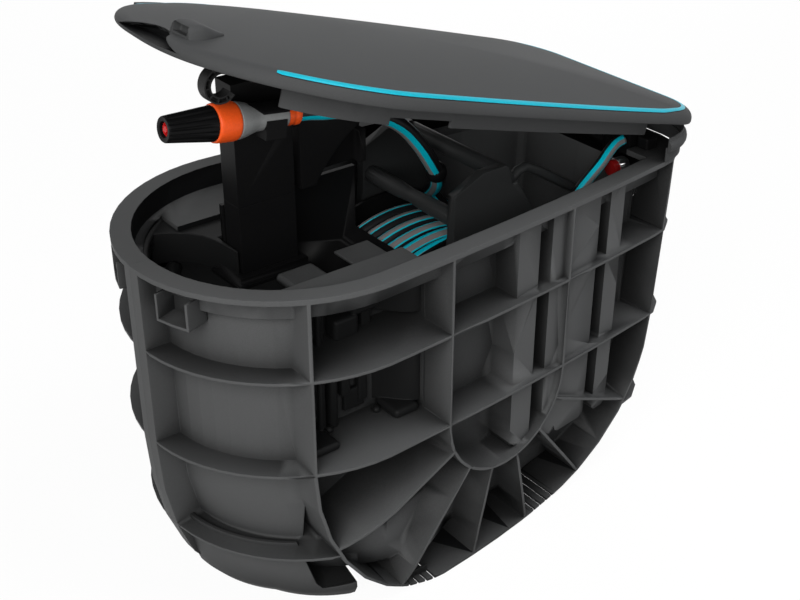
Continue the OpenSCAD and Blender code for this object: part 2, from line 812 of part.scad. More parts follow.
connector_len = 16;
connector_r = 12;
module hose_connector() {
  color(orange) on_nozzle() translate([0, 0, ring_half + seat_gap + neck_len]) difference() {
    cylinder(r = connector_r, h = connector_len);
    translate([0, 0, connector_len / 2]) cylinder(r = hose_d / 2 + shaft_gap, h = connector_len);
  }
}

module nozzle_ring() {
  color(orange) on_nozzle() translate([0, 0, -ring_half]) difference() {
    cylinder(r = ring_r, h = 2 * ring_half);
    translate([0, 0, -overrun]) cylinder(r = bore_r, h = 2 * ring_half + 2 * overrun);
  }
}

flutes_round = 12;
tip_flute_r = 2;
insert_r = 8;
insert_h = 10;
module nozzle_tip() {
  color(dark_moulding) on_nozzle() translate([0, 0, -ring_half - tip_len]) turned([
    [insert_r + shaft_gap, 0], [tip_r, 0], [ring_r - tip_flute_r, tip_len], [bore_r, tip_len],
    [bore_r, insert_h + shaft_gap], [insert_r + shaft_gap, insert_h + shaft_gap]]);
}

module nozzle_insert() {
  color(orange) on_nozzle() translate([0, 0, -ring_half - tip_len]) cylinder(r = insert_r, h = insert_h);
}

cradle_t = 12;
cradle_from = 30;
cradle_gap = 0.3;
module nozzle_cradle() {
  color(dark_moulding) difference() {
    on_nozzle() translate([-grip_r / 2, -grip_r - overrun, ring_half + cradle_from])
      cube([grip_r * 2, mast_y - nozzle_y + grip_r + overrun - shaft_gap, cradle_t * 2]);
    on_nozzle() cylinder(r = grip_r + shaft_gap, h = neck_len * 2);
    on_nozzle() translate([-grip_r * 2, -grip_r * 2, 0]) cube([grip_r * 2, grip_r * 4, neck_len * 2]);
  }
}

slot_x = mast_x + 104;
guide_pin_r = 4;
guide_pin_l = 6;
module guide_pin() {
  color(steel) bar_y(slot_x, head_foot + 2 * leaf_w, guide_pin_r, mast_y - guide_pin_l, mast_y);
}

// Reel, with the hose wound on it
hub_r = 62;
flange_t = 4;
frame_y = reel_half + flange_t + 6;
axle_front = frame_y + frame_t + 8;
axle_back = frame_y + frame_t + 20;
spoke_hole_r = 24;
spoke_holes = 5;
hole_ring_r = 108;
module reel_axle() {
  color(steel) bar_y(reel_x, reel_z, axle_r, -axle_front, axle_back);
}

module reel_drum() {
  color(dark_moulding) difference() {
    bar_y(reel_x, reel_z, hub_r, -reel_half, reel_half);
    bar_y(reel_x, reel_z, axle_r + shaft_gap, -side_reach, side_reach);
  }
}

module reel_flange(y0) {
  color(dark_moulding) difference() {
    bar_y(reel_x, reel_z, flange_r, y0, y0 + flange_t);
    bar_y(reel_x, reel_z, axle_r + shaft_gap, -side_reach, side_reach);
    for (k = [0:spoke_holes - 1])
      bar_y(reel_x + hole_ring_r * cos(360 * k / spoke_holes), reel_z + hole_ring_r * sin(360 * k / spoke_holes),
        spoke_hole_r, y0 - overrun, y0 + flange_t + overrun);
  }
}

module reel_flange_front() {
  reel_flange(-reel_half - flange_t);
}

module reel_flange_back() {
  reel_flange(reel_half);
}

module hose_core() {
  color(frame_grey) difference() {
    bar_y(reel_x, reel_z, core_r, shaft_gap - reel_half, reel_half - shaft_gap);
    bar_y(reel_x, reel_z, hub_r + shaft_gap, -side_reach, side_reach);
  }
}

// The outer layer of hose: one tube in even turns, leaving at the lead's angle
wound_pitch = (2 * reel_half - hose_d - 2 * overrun) / turns;
lead_turn = 40;
function wound(t) = let (a = lead_turn - t)
  [reel_x + wound_r * cos(a), turns * wound_pitch / 2 - wound_pitch * t / 360, reel_z + wound_r * sin(a)];
wound_steps = turns * turn_rings;
wound_line = [for (i = [0:wound_steps]) wound(360 * i / turn_rings)];
function straight(a, b) = a + hose_d * unit(a - b);
winding_path = concat([straight(wound(0), wound(overrun))], wound_line,
  [straight(wound(360 * turns), wound(360 * turns - overrun))]);
wound_gap = min([for (i = [0:wound_steps - turn_rings], k = [-1:1])
  norm(wound_line[i] - wound_line[min(max(i + turn_rings + k, 0), wound_steps)])]) - hose_d;
echo(least_gap_between_turns = wound_gap);
module hose_winding() {
  color(frame_grey) tube(winding_path, hose_d / 2, 6, [0, 1, 0]);
}

// Ratchet on the axle with its pawl, lifted clear
teeth = 14;
ratchet_r = 38;
tooth_h = 5;
ratchet_t = 5;
ratchet_y = -frame_y - frame_t - ratchet_t - overrun / 2;
module ratchet_wheel() {
  color(steel) difference() {
    side_plate(ratchet_y, ratchet_y + ratchet_t) translate([reel_x, reel_z]) polygon([
      for (k = [0:teeth - 1]) each let (a = 360 * k / teeth, b = 360 * (k + 0.9) / teeth)
        [[(ratchet_r - tooth_h) * cos(a), (ratchet_r - tooth_h) * sin(a)],
          [ratchet_r * cos(b), ratchet_r * sin(b)]]]);
    bar_y(reel_x, reel_z, axle_r + shaft_gap, -side_reach, side_reach);
  }
}

pawl_x = reel_x - 30;
pawl_z = reel_z + ratchet_r + 16;
pawl_r = 7;
pawl_len = 34;
pawl_pin_r = 3;
pawl_drop = 6;
pawl_slack = 0.5;
module pawl() {
  color(steel) translate([pawl_x, 0, pawl_z]) difference() {
    union() {
      bar_y(0, 0, pawl_r, ratchet_y, ratchet_y + ratchet_t);
      side_plate(ratchet_y, ratchet_y + ratchet_t) rotate(-pawl_drop)
        polygon([[0, pawl_r - pawl_slack], [pawl_len, 0], [pawl_len, -pawl_r / 2], [0, pawl_slack - pawl_r]]);
    }
    bar_y(0, 0, pawl_pin_r + shaft_gap, -side_reach, side_reach);
  }
}

module pawl_pin() {
  color(steel) bar_y(pawl_x, pawl_z, pawl_pin_r, ratchet_y - overrun, -frame_y - frame_t);
}

// Side frames that carry the axle and the hose guide bars
bush_t = 3;
upper_bar = [reel_x + 52, rim_z + 14];
lower_bar = [reel_x - 10, rim_z - 26];
frame_floor = cavity_recess;
frame_half = 78;
waist = 34;
frame_points = [
  [reel_x - frame_half, frame_floor], [reel_x + frame_half, frame_floor],
  [reel_x + frame_half, frame_floor + frame_t], [reel_x + waist, reel_z - waist],
  [reel_x + waist, reel_z + waist], [upper_bar[0] + waist + frame_t, lower_bar[1] - waist / 2],
  [upper_bar[0] + waist / 2, upper_bar[1] - frame_t], [upper_bar[0], upper_bar[1] + frame_t],
  [upper_bar[0] - waist, upper_bar[1] + frame_t], [lower_bar[0] - frame_t, lower_bar[1] + waist],
  [lower_bar[0] - frame_t, lower_bar[1] - frame_t], [reel_x - waist, reel_z + waist],
  [reel_x - waist, reel_z - waist], [reel_x - frame_half, frame_floor + frame_t]];
module frame_plate(y0) {
  difference() {
    side_plate(y0, y0 + frame_t) polygon(frame_points);
    bar_y(reel_x, reel_z, axle_r + bush_t + shaft_gap, -side_reach, side_reach);
    bar_y(upper_bar[0] + frame_t, upper_bar[1] - frame_t, pin_r, y0 - overrun, y0 + frame_t / 2);
  }
}

module frame_front() {
  color(frame_grey) frame_plate(-frame_y - frame_t);
}

module frame_back() {
  color(frame_grey) frame_plate(frame_y);
}

module axle_bush(y0) {
  color(steel) difference() {
    bar_y(reel_x, reel_z, axle_r + bush_t, y0, y0 + frame_t);
    bar_y(reel_x, reel_z, axle_r + shaft_gap, y0 - overrun, y0 + frame_t + overrun);
  }
}

module axle_bush_front() {
  axle_bush(-frame_y - frame_t);
}

module axle_bush_back() {
  axle_bush(frame_y);
}

bar_r = 10;
bar_neck_r = 8;
module guide_bar_upper() {
  color(frame_grey) bar_y(upper_bar[0], upper_bar[1], bar_r, -frame_y, frame_y);
}

module guide_bar_lower() {
  color(frame_grey) translate([lower_bar[0], 0, lower_bar[1]]) rotate([-90, 0, 0]) turned([
    [0, -frame_y], [bar_r, -frame_y], [bar_r, -frame_y / 3], [bar_neck_r, 0], [bar_r, frame_y / 3],
    [bar_r, frame_y], [0, frame_y]]);
}

// Brace bar from the front frame to the flat end's wall
hoop_r = 6;
hoop_y = -reel_half - flange_t;
hoop_route = [[101, hoop_y, 403], [112, hoop_y, 414], [124, hoop_y, 417], [144, hoop_y, 407], [175, hoop_y, 387],
  [208, hoop_y, 366], [238, hoop_y, 346], [259, hoop_y, 333], [270, hoop_y, 328], [277, hoop_y, 327]];
module frame_hoop() {
  color(frame_grey) tube(hoop_route, hoop_r, 10, [0, 1, 0]);
}

// Rewind spring in its housing behind the back frame
housing_r = 60;
housing_y = [frame_y + frame_t, frame_y + frame_t + 26];
housing_wall = 3;
spring_turns = 5;
spring_t = 1.2;
spring_gap = 2;
spring_steps = 24;
module spring_housing() {
  color(dark_moulding) difference() {
    bar_y(reel_x, reel_z, housing_r, housing_y[0], housing_y[1]);
    bar_y(reel_x, reel_z, housing_r - housing_wall, housing_y[0] + housing_wall, housing_y[1] - housing_wall);
    bar_y(reel_x, reel_z, axle_r + shaft_gap, housing_y[0] - overrun, housing_y[1] - housing_wall);
  }
}

module rewind_spring() {
  first = axle_r + spring_gap;
  last = housing_r - housing_wall - spring_gap;
  inner = [for (i = [0:spring_turns * spring_steps]) let (u = i / spring_steps / spring_turns,
    a = 360 * i / spring_steps) mix(first, last, u) * [cos(a), sin(a)]];
  outer = [for (i = [spring_turns * spring_steps:-1:0]) let (u = i / spring_steps / spring_turns,
    a = 360 * i / spring_steps) (mix(first, last, u) + spring_t) * [cos(a), sin(a)]];
  color(steel) side_plate(housing_y[0] + housing_wall, housing_y[1] - 2 * housing_wall)
    translate([reel_x, reel_z]) polygon(concat(inner, outer));
}

// Water swivel on the front end of the axle
swivel_y = [-axle_front - 20, -axle_front - seat_gap];
swivel_r = 16;
stub_len = 26;
seal_r = 2;
module swivel_elbow() {
  color(dark_moulding) {
    bar_y(reel_x, reel_z, swivel_r, swivel_y[0], swivel_y[1]);
    translate([reel_x, (swivel_y[0] + swivel_y[1]) / 2, reel_z]) rotate([0, 60, 0])
      cylinder(r = feed_d / 2, h = swivel_r + stub_len);
  }
}

module swivel_seal() {
  color(dark_moulding) difference() {
    bar_y(reel_x, reel_z, axle_r + 2 * seal_r, swivel_y[1], ratchet_y - run_gap);
    bar_y(reel_x, reel_z, axle_r + shaft_gap, -side_reach, side_reach);
  }
}

// Water inlet and manifold at the hinge end
inlet_bore = 7;
spigot_r = 9.8;
spigot_end = end_x - 2;
module inlet_fitting() {
  color(steel) difference() {
    union() {
      inlet_bend();
      bar_x(spigot_r, inlet_mouth, spigot_end, inlet_foot);
    }
    bar_x(inlet_bore, inlet_mouth, spigot_end + overrun, inlet_foot);
  }
}

ring_len = 8;
module inlet_ring() {
  color([0.75, 0.08, 0.08]) translate([inlet_start - ring_len, inlet_y, inlet_z])
    rotate([0, 90, 0]) cylinder(r = inlet_r + overrun, h = ring_len);
}

manifold_x = [276, 300];
manifold_y = [-90, -62];
manifold_foot = 10;
manifold_z = [inlet_z + inlet_r + seat_gap, rim_z + 14];
module inlet_manifold() {
  color(dark_moulding) {
    box(manifold_x, manifold_y, manifold_z);
    box([manifold_x[1] - manifold_foot, manifold_x[1]], [manifold_y[1] - manifold_foot, manifold_y[1]],
      [band_z, manifold_z[0]]);
  }
}

// Hose routes, in whole millimetres
feed_route = [[274.5, -79, 413], [261, -80, 411], [246, -83, 404], [230, -87, 395], [212, -88, 383], [194, -89, 370],
  [176, -92, 354], [158, -96, 337], [143, -100, 319], [130, -104, 300], [118, -107, 281], [105, -108, 263],
  [92, -108, 246], [79, -108, 231], [66, -108, 222]];
module feed_hose() {
  color(frame_grey) tube(feed_route, feed_d / 2, 10, [0, 1, 0]);
}

lead_route = [[-141, -14, 527], [-127, -14, 525], [-110, -14, 521], [-90, -13, 517], [-70, -12, 511],
  [-50, -10, 504], [-30, -8, 495], [-12, -6, 484], [4, -4, 471], [18, -2, 456], [31, 0, 440], [42, 3, 425],
  [53, 7, 410], [63, 12, 397], [72, 21, 382], [79, 33, 368], [85, 46, 357], [90, 55, 350], [96, 58, 342],
  [105, 58, 330], [115, 58, 318], [125, 58, 306]];
module delivery_hose() {
  color(frame_grey) tube(lead_route, hose_d / 2, 10, [0, 1, 0]);
}

ball_r = 13;
ball_at = 13;
module hose_stop_ball() {
  color(dark_moulding) difference() {
    translate(lead_route[ball_at]) sphere(ball_r);
    tube(lead_route, hose_d / 2 + seat_gap, 16, [0, 1, 0]);
  }
}

tub_front();
tub_back();
seam_screws();
inner_tray();
post_guide();
latch_catch();
lid_shell();
lid_liner();
trim_strip();
lid_lugs();
lock_cover();
lid_stud();
latch_pin();
latch_hook();
latch_spring();
hinge_carrier();
hinge_pin();
fin_upper();
fin_lower();
post_mast();
post_head();
mast_slide();
nozzle_cradle();
guide_pin();
nozzle_body();
nozzle_inlay();
hose_connector();
nozzle_ring();
nozzle_tip();
nozzle_insert();
reel_axle();
reel_drum();
reel_flange_front();
reel_flange_back();
hose_core();
hose_winding();
ratchet_wheel();
pawl();
pawl_pin();
axle_bush_front();
axle_bush_back();
frame_front();
frame_back();
frame_hoop();
guide_bar_upper();
guide_bar_lower();
spring_housing();
rewind_spring();
swivel_elbow();
swivel_seal();
inlet_fitting();
inlet_ring();
inlet_manifold();
feed_hose();
delivery_hose();
hose_stop_ball();
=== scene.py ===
import bpy, bmesh, math
from mathutils import Vector, Matrix


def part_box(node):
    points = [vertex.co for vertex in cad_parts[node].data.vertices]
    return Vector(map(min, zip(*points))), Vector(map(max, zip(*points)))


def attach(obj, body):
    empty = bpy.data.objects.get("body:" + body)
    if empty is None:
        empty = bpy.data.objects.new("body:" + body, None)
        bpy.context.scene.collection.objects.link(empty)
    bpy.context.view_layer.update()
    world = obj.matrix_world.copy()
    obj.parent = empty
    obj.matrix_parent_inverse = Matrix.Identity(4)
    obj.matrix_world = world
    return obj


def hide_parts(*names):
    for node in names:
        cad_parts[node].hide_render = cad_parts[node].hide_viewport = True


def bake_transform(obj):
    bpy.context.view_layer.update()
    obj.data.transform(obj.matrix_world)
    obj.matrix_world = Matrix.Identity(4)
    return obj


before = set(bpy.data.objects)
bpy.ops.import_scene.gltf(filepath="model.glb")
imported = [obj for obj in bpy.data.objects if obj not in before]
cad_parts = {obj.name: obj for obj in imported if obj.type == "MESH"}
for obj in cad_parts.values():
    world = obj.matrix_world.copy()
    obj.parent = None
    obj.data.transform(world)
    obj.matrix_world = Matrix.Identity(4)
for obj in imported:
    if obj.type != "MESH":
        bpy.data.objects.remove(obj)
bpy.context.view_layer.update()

# Most pieces are laid out in millimetres and divided by this where their meshes, in metres, are made.
mm_per_m = 1000.0


# Camera and studio: a long lens from the front left, fitted to the rim and the lid's outline.
# The set is a plain pale floor under soft area lights, white to the camera.
def put_object(name, data):
    made = bpy.data.objects.new(name, data)
    bpy.context.collection.objects.link(made)
    return made


cam_data = bpy.data.cameras.new("camera")
cam_data.lens = 57.46
cam_data.sensor_width = 36.0
cam_data.clip_start = 0.05
cam_data.clip_end = 30.0
camera = put_object("camera", cam_data)
aim = Vector((-0.1665, -0.2170, 0.4100))
camera.location = Vector((-0.8002, -1.0397, 1.0064))
camera.rotation_euler = (aim - camera.location).to_track_quat("-Z", "Y").to_euler()
bpy.context.scene.camera = camera
bpy.context.scene.view_settings.view_transform = "Standard"


def add_node(nodes, kind, values=None, **settings):
    node = nodes.new(kind)
    for name, value in settings.items():
        setattr(node, name, value)
    for socket, value in (values or {}).items():
        node.inputs[socket].default_value = value
    return node


def wire(links, *runs):
    for giver, give, taker, take in runs:
        links.new(giver.outputs[give], taker.inputs[take])


def seen_share(nodes, links):
    path = nodes.new("ShaderNodeLightPath")
    bounced = add_node(nodes, "ShaderNodeMath", operation="MAXIMUM")
    seen = add_node(nodes, "ShaderNodeMath", operation="MAXIMUM")
    wire(links, (path, "Is Glossy Ray", bounced, 0), (path, "Is Transmission Ray", bounced, 1),
                (path, "Is Camera Ray", seen, 0), (bounced, "Value", seen, 1))
    return seen.outputs["Value"]


world = bpy.data.worlds.new("studio")
bpy.context.scene.world = world
world.use_nodes = True
wn, wl = world.node_tree.nodes, world.node_tree.links
wn.clear()
w_out = wn.new("ShaderNodeOutputWorld")
w_mix = wn.new("ShaderNodeMixShader")
w_ambient = add_node(wn, "ShaderNodeBackground", {"Color": (0.92, 0.95, 1.0, 1.0), "Strength": 0.05})
w_white = add_node(wn, "ShaderNodeBackground", {"Color": (1.0, 1.0, 1.0, 1.0), "Strength": 1.0})
wl.new(seen_share(wn, wl), w_mix.inputs["Fac"])
wire(wl, (w_ambient, "Background", w_mix, 1), (w_white, "Background", w_mix, 2),
         (w_mix, "Shader", w_out, "Surface"))

for name, place, target, size, power, tint in (
        ("key_light", (-2.4, -1.9, 2.0), (0.0, 0.0, 0.3), 2.6, 135.0, (1.0, 0.99, 0.97)),
        ("front_fill", (-0.6, -2.9, 1.3), (0.0, 0.0, 0.2), 1.4, 16.0, (1.0, 1.0, 1.0)),
        ("top_soft", (0.9, -0.9, 2.9), (0.1, 0.0, 0.4), 1.6, 52.0, (1.0, 1.0, 1.0)),
        ("back_soft", (2.0, 2.6, 0.9), (0.1, 0.0, 0.2), 2.0, 55.0, (1.0, 1.0, 1.0))):
    data = bpy.data.lights.new(name, "AREA")
    data.size = size
    data.energy = power
    data.color = tint
    lamp = put_object(name, data)
    lamp.location = place
    lamp.rotation_euler = (Vector(target) - Vector(place)).to_track_quat("-Z", "Y").to_euler()
    lamp.visible_glossy = name != "back_soft"

floor_half, floor_z = 6, -0.001
floor_corners = [(x * floor_half, y * floor_half, floor_z) for x, y in ((-1, -1), (1, -1), (1, 1), (-1, 1))]
floor_mesh = bpy.data.meshes.new("floor")
floor_mesh.from_pydata(floor_corners, [], [(0, 1, 2, 3)])
floor = put_object("floor", floor_mesh)
floor_mat = bpy.data.materials.new("floor_paper")
floor_mat.use_nodes = True
fn, fl = floor_mat.node_tree.nodes, floor_mat.node_tree.links
fn.clear()
f_out = fn.new("ShaderNodeOutputMaterial")
f_mix = fn.new("ShaderNodeMixShader")
f_diffuse = add_node(fn, "ShaderNodeBsdfDiffuse", {"Color": (0.35, 0.35, 0.35, 1.0)})
f_white = add_node(fn, "ShaderNodeEmission", {"Color": (1.0, 1.0, 1.0, 1.0), "Strength": 1.1})
f_part = add_node(fn, "ShaderNodeMath", {1: 0.86}, operation="MULTIPLY")
fl.new(seen_share(fn, fl), f_part.inputs[0])
wire(fl, (f_part, "Value", f_mix, "Fac"), (f_diffuse, "BSDF", f_mix, 1), (f_white, "Emission", f_mix, 2),
         (f_mix, "Shader", f_out, "Surface"))
floor_mesh.materials.append(floor_mat)


# Hoses: half-inch garden hose, extruded with a black band, a grey band and turquoise lines along it.
# The lead runs from the nozzle's connector through the stop ball to the last turn on the drum.
def smooth_line(points, step):
    pts = [Vector(p) / mm_per_m for p in points]
    out = []
    for i in range(len(pts) - 1):
        p0, p1, p2, p3 = pts[max(i - 1, 0)], pts[i], pts[i + 1], pts[min(i + 2, len(pts) - 1)]
        n = max(1, round((p2 - p1).length / step))
        for k in range(n):
            t = k / n
            out.append(0.5 * ((2 * p1) + (p2 - p0) * t + (2 * p0 - 5 * p1 + 4 * p2 - p3) * t * t
                              + (3 * p1 - p0 - 3 * p2 + p3) * t * t * t))
    out.append(pts[-1])
    return out


def hose_tube(name, line, radius, sides, turn, way=1):
    verts, faces = [], []
    tangent = (line[1] - line[0]).normalized()
    normal = tangent.cross(Vector((0, 1, 0))).normalized()
    for i, p in enumerate(line):
        t = (line[min(i + 1, len(line) - 1)] - line[max(i - 1, 0)]).normalized()
        normal = (normal - t * normal.dot(t)).normalized()
        side = t.cross(normal)
        for k in range(sides + 1):
            a = 2 * math.pi * k / sides
            verts.append(p + radius * (normal * math.cos(a) + side * math.sin(a)))
    w = sides + 1
    for i in range(len(line) - 1):
        for k in range(sides):
            faces.append((i * w + k, i * w + k + 1, (i + 1) * w + k + 1, (i + 1) * w + k))
    faces.append(tuple(reversed(range(sides))))
    faces.append(tuple((len(line) - 1) * w + k for k in range(sides)))
    mesh = bpy.data.meshes.new(name)
    mesh.from_pydata(verts, [], faces)
    dirs = mesh.attributes.new("hose_angle", "FLOAT_VECTOR", "POINT")
    for i in range(len(verts)):
        a = 2 * math.pi * (way * (i % w) / sides + turn)
        dirs.data[i].vector = (math.cos(a), math.sin(a), 0.0)
    mesh.polygons.foreach_set("use_smooth", [len(f.vertices) == 4 for f in mesh.polygons])
    mesh.materials.append(hose_mat)
    return put_object(name, mesh)


hose_mat = bpy.data.materials.new("hose_striped_pvc")
hose_mat.use_nodes = True
hn, hl = hose_mat.node_tree.nodes, hose_mat.node_tree.links
h_bsdf = hn["Principled BSDF"]
h_bsdf.inputs["Specular IOR Level"].default_value = 0.25
h_attr = add_node(hn, "ShaderNodeAttribute", attribute_name="hose_angle")
h_split = hn.new("ShaderNodeSeparateXYZ")
h_atan = add_node(hn, "ShaderNodeMath", operation="ARCTAN2")
h_turn = add_node(hn, "ShaderNodeMath", {1: 1 / (2 * math.pi), 2: 0.5}, operation="MULTIPLY_ADD")
h_ramp = hn.new("ShaderNodeValToRGB")
ramp = h_ramp.color_ramp
ramp.interpolation = "CONSTANT"
black, grey, turquoise = (0.006, 0.006, 0.007, 1), (0.17, 0.165, 0.165, 1), (0.0, 0.44, 0.56, 1)
stops = ((0.0, black), (0.08, turquoise), (0.20, grey), (0.33, turquoise), (0.36, black), (0.58, turquoise),
         (0.70, grey), (0.83, turquoise), (0.86, black))
while len(ramp.elements) < len(stops):
    ramp.elements.new(0.5)
for el, (at, col) in zip(ramp.elements, stops):
    el.position = at
for el, (at, col) in zip(ramp.elements, stops):
    el.color = col
h_coord = hn.new("ShaderNodeTexCoord")
h_noise = add_node(hn, "ShaderNodeTexNoise", {"Scale": 420.0})
h_bump = add_node(hn, "ShaderNodeBump", {"Strength": 0.12, "Distance": 0.0006})
h_rough = add_node(hn, "ShaderNodeMapRange", {"To Min": 0.34, "To Max": 0.5})
wire(hl, (h_attr, "Vector", h_split, "Vector"), (h_split, "Y", h_atan, 0), (h_split, "X", h_atan, 1),
         (h_atan, "Value", h_turn, 0), (h_turn, "Value", h_ramp, "Fac"),
         (h_ramp, "Color", h_bsdf, "Base Color"), (h_coord, "Object", h_noise, "Vector"),
         (h_noise, "Fac", h_bump, "Height"), (h_bump, "Normal", h_bsdf, "Normal"),
         (h_noise, "Fac", h_rough, "Value"), (h_rough, "Result", h_bsdf, "Roughness"))

hose_d, feed_d, line_step, hose_sides = 17.5, 14.0, 5.0, 24
lead_points = [(-141, -14, 527), (-127, -14, 525), (-110, -14, 521), (-90, -13, 517), (-70, -12, 511),
               (-50, -10, 504), (-30, -8, 495), (-12, -6, 484), (4, -4, 471), (18, -2, 456), (31, 0, 440),
               (42, 3, 425), (53, 7, 410), (63, 12, 397), (72, 21, 382), (79, 33, 368), (85, 46, 357),
               (90, 55, 350), (96, 58, 342), (105, 58, 330), (115, 58, 318), (125, 58, 306)]
lead_line = smooth_line(lead_points, line_step / mm_per_m)
lead = hose_tube("delivery_hose_skin", lead_line, hose_d / 2 / mm_per_m, hose_sides, 0.30)
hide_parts("delivery_hose")
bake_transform(lead)

feed_points = [(274.5, -79, 413), (261, -80, 411), (246, -83, 404), (230, -87, 395), (212, -88, 383),
               (194, -89, 370), (176, -92, 354), (158, -96, 337), (143, -100, 319), (130, -104, 300),
               (118, -107, 281), (105, -108, 263), (92, -108, 246), (79, -108, 231), (66, -108, 222)]
feed_line = smooth_line(feed_points, line_step / mm_per_m)
feed = hose_tube("feed_hose_skin", feed_line, feed_d / 2 / mm_per_m, hose_sides, 0.07, way=-1)
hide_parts("feed_hose")
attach(feed, "base")

# Hose on the drum: about 20 m, wound in four inner layers and one outer layer, six turns in each.
# The inner layers carry the outer one, whose last turn leads off to the stop ball.
reel_x, reel_z, reel_half, turns, turn_rings = 28.0, 200.0, 68, 6, 72
core_r, core_sides, seat_gap, cheek_gap = 132.0, 24, 0.3, 2
wound_r = (core_r + seat_gap) / math.cos(math.pi / core_sides) + hose_d / 2
pitch = (2 * reel_half - hose_d - cheek_gap) / turns


def helix(radius, start, count, rings, way):
    line = []
    for i in range(int(count * rings) + 1):
        t = i / rings
        a = math.radians(start) - 2 * math.pi * t
        y = way * (count * pitch / 2 - pitch * t)
        line.append(Vector((reel_x + radius * math.cos(a), y, reel_z + radius * math.sin(a))) / mm_per_m)
    return line


wound_line = helix(wound_r, 40, turns, turn_rings, 1)
stub = hose_d / mm_per_m
wound_line = ([wound_line[0] + stub * (wound_line[0] - wound_line[1]).normalized()] + wound_line
              + [wound_line[-1] + stub * (wound_line[-1] - wound_line[-2]).normalized()])
winding = hose_tube("hose_winding_skin", wound_line, hose_d / 2 / mm_per_m, 16, 0.35)
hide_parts("hose_winding")
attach(winding, "reel")

layer_radii, layer_hose_r, layer_rings = (71.0, 88.4, 105.8, 123.2), 8.6, 48
layers = bmesh.new()
for k, radius in enumerate(layer_radii):
    layer_line = helix(radius, 10 + 60 * k, turns, layer_rings, 1 if k % 2 else -1)
    layer = hose_tube("layer_%d" % k, layer_line, layer_hose_r / mm_per_m, 12, 0.1 + 0.2 * k)
    layers.from_mesh(layer.data)
    bpy.data.objects.remove(layer)
inner_mesh = bpy.data.meshes.new("hose_core_skin")
layers.to_mesh(inner_mesh)
layers.free()
inner_mesh.polygons.foreach_set("use_smooth", [True] * len(inner_mesh.polygons))
inner_mesh.materials.append(hose_mat)
inner_layers = put_object("hose_core_skin", inner_mesh)
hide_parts("hose_core")
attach(inner_layers, "reel")


# Tub: two half shells of glass-filled polypropylene, ribbed outside, bolted together at the seam.
# Spark-eroded grain, sharp rib edges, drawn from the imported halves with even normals.
def moulded(name, colour, rough, grain, bump, edge, gloss=0.05, painted_shade_reach=0.0):
    mat = bpy.data.materials.new(name)
    mat.use_nodes = True
    n, l = mat.node_tree.nodes, mat.node_tree.links
    bsdf = n["Principled BSDF"]
    bsdf.inputs["Specular IOR Level"].default_value = gloss
    coord = n.new("ShaderNodeTexCoord")
    fine = add_node(n, "ShaderNodeTexNoise", {"Scale": grain, "Detail": 3.0})
    broad = add_node(n, "ShaderNodeTexNoise", {"Scale": 7.0, "Detail": 4.0})
    darker, lighter = (tuple(c * share for c in colour) + (1.0,) for share in (0.90, 1.10))
    tone = add_node(n, "ShaderNodeMixRGB", {"Color1": darker, "Color2": lighter})
    fleck = add_node(n, "ShaderNodeMixRGB", {"Fac": 0.25}, blend_type="MULTIPLY")
    shine = add_node(n, "ShaderNodeMapRange", {"To Min": rough - 0.06, "To Max": rough + 0.06})
    soft = add_node(n, "ShaderNodeBevel", {"Radius": edge}, samples=4)
    relief = add_node(n, "ShaderNodeBump", {"Strength": bump, "Distance": 0.0004})
    wire(l, (coord, "Object", fine, "Vector"), (coord, "Object", broad, "Vector"),
            (broad, "Fac", tone, "Fac"), (tone, "Color", fleck, "Color1"), (fine, "Fac", fleck, "Color2"))
    # Painted shade: an ambient occlusion node darkens the base colour in recesses, creases and between
    # ribs, where shade falls.
    if painted_shade_reach:
        shade_ao = add_node(n, "ShaderNodeAmbientOcclusion", {"Distance": painted_shade_reach}, samples=6)
        depth = add_node(n, "ShaderNodeMapRange", {"From Min": 0.30, "From Max": 0.85, "To Min": 0.16})
        shaded_colour = add_node(n, "ShaderNodeMixRGB", {"Fac": 1.0}, blend_type="MULTIPLY")
        wire(l, (shade_ao, "AO", depth, "Value"), (fleck, "Color", shaded_colour, "Color1"),
                (depth, "Result", shaded_colour, "Color2"), (shaded_colour, "Color", bsdf, "Base Color"))
    else:
        l.new(fleck.outputs["Color"], bsdf.inputs["Base Color"])
    wire(l, (fine, "Fac", shine, "Value"), (shine, "Result", bsdf, "Roughness"),
            (fine, "Fac", relief, "Height"), (soft, "Normal", relief, "Normal"),
            (relief, "Normal", bsdf, "Normal"))
    return mat


def baked(piece):
    bpy.context.view_layer.update()
    return bpy.data.meshes.new_from_object(piece.evaluated_get(bpy.context.evaluated_depsgraph_get()))


def finish_piece(bm, name, mat, slot, body, angle=30.0, nodes=()):
    bmesh.ops.remove_doubles(bm, verts=bm.verts, dist=2e-5)
    mesh = bpy.data.meshes.new(name)
    bm.to_mesh(mesh)
    bm.free()
    mesh.polygons.foreach_set("use_smooth", [True] * len(mesh.polygons))
    mesh.set_sharp_from_angle(angle=math.radians(angle))
    mesh.materials.append(mat)
    piece = put_object(name, mesh)
    even = piece.modifiers.new("even_normals", "WEIGHTED_NORMAL")
    even.keep_sharp = True
    even.weight = 100
    shaded = baked(piece)
    piece.modifiers.clear()
    piece.data = shaded
    for node in nodes:
        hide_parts(node)
    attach(piece, body)
    return piece


def finish_made(bm, *look):
    bmesh.ops.recalc_face_normals(bm, faces=bm.faces)
    return finish_piece(bm, *look)


def skin_of(node, mat, slot, body, angle=30.0):
    bm = bmesh.new()
    bm.from_mesh(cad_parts[node].data)
    for face in bm.faces:
        face.material_index = 0
    return finish_piece(bm, node + "_skin", mat, slot, body, angle, (node,))


def share_of(value, start, length):
    return min(1.0, max(0.0, (value - start) / length))


def loft(bm, rows, around=True, ring=False, ends=False, flip=False):
    n = len(rows[0])
    for r0, r1 in zip(rows, rows[1:] + rows[:1] if ring else rows[1:]):
        for i in range(n if around else n - 1):
            a, b = ((i + 1) % n, i) if flip else (i, (i + 1) % n)
            bm.faces.new((r0[a], r0[b], r1[b], r1[a]))
    if ends:
        bm.faces.new(rows[0])
        bm.faces.new(rows[-1])
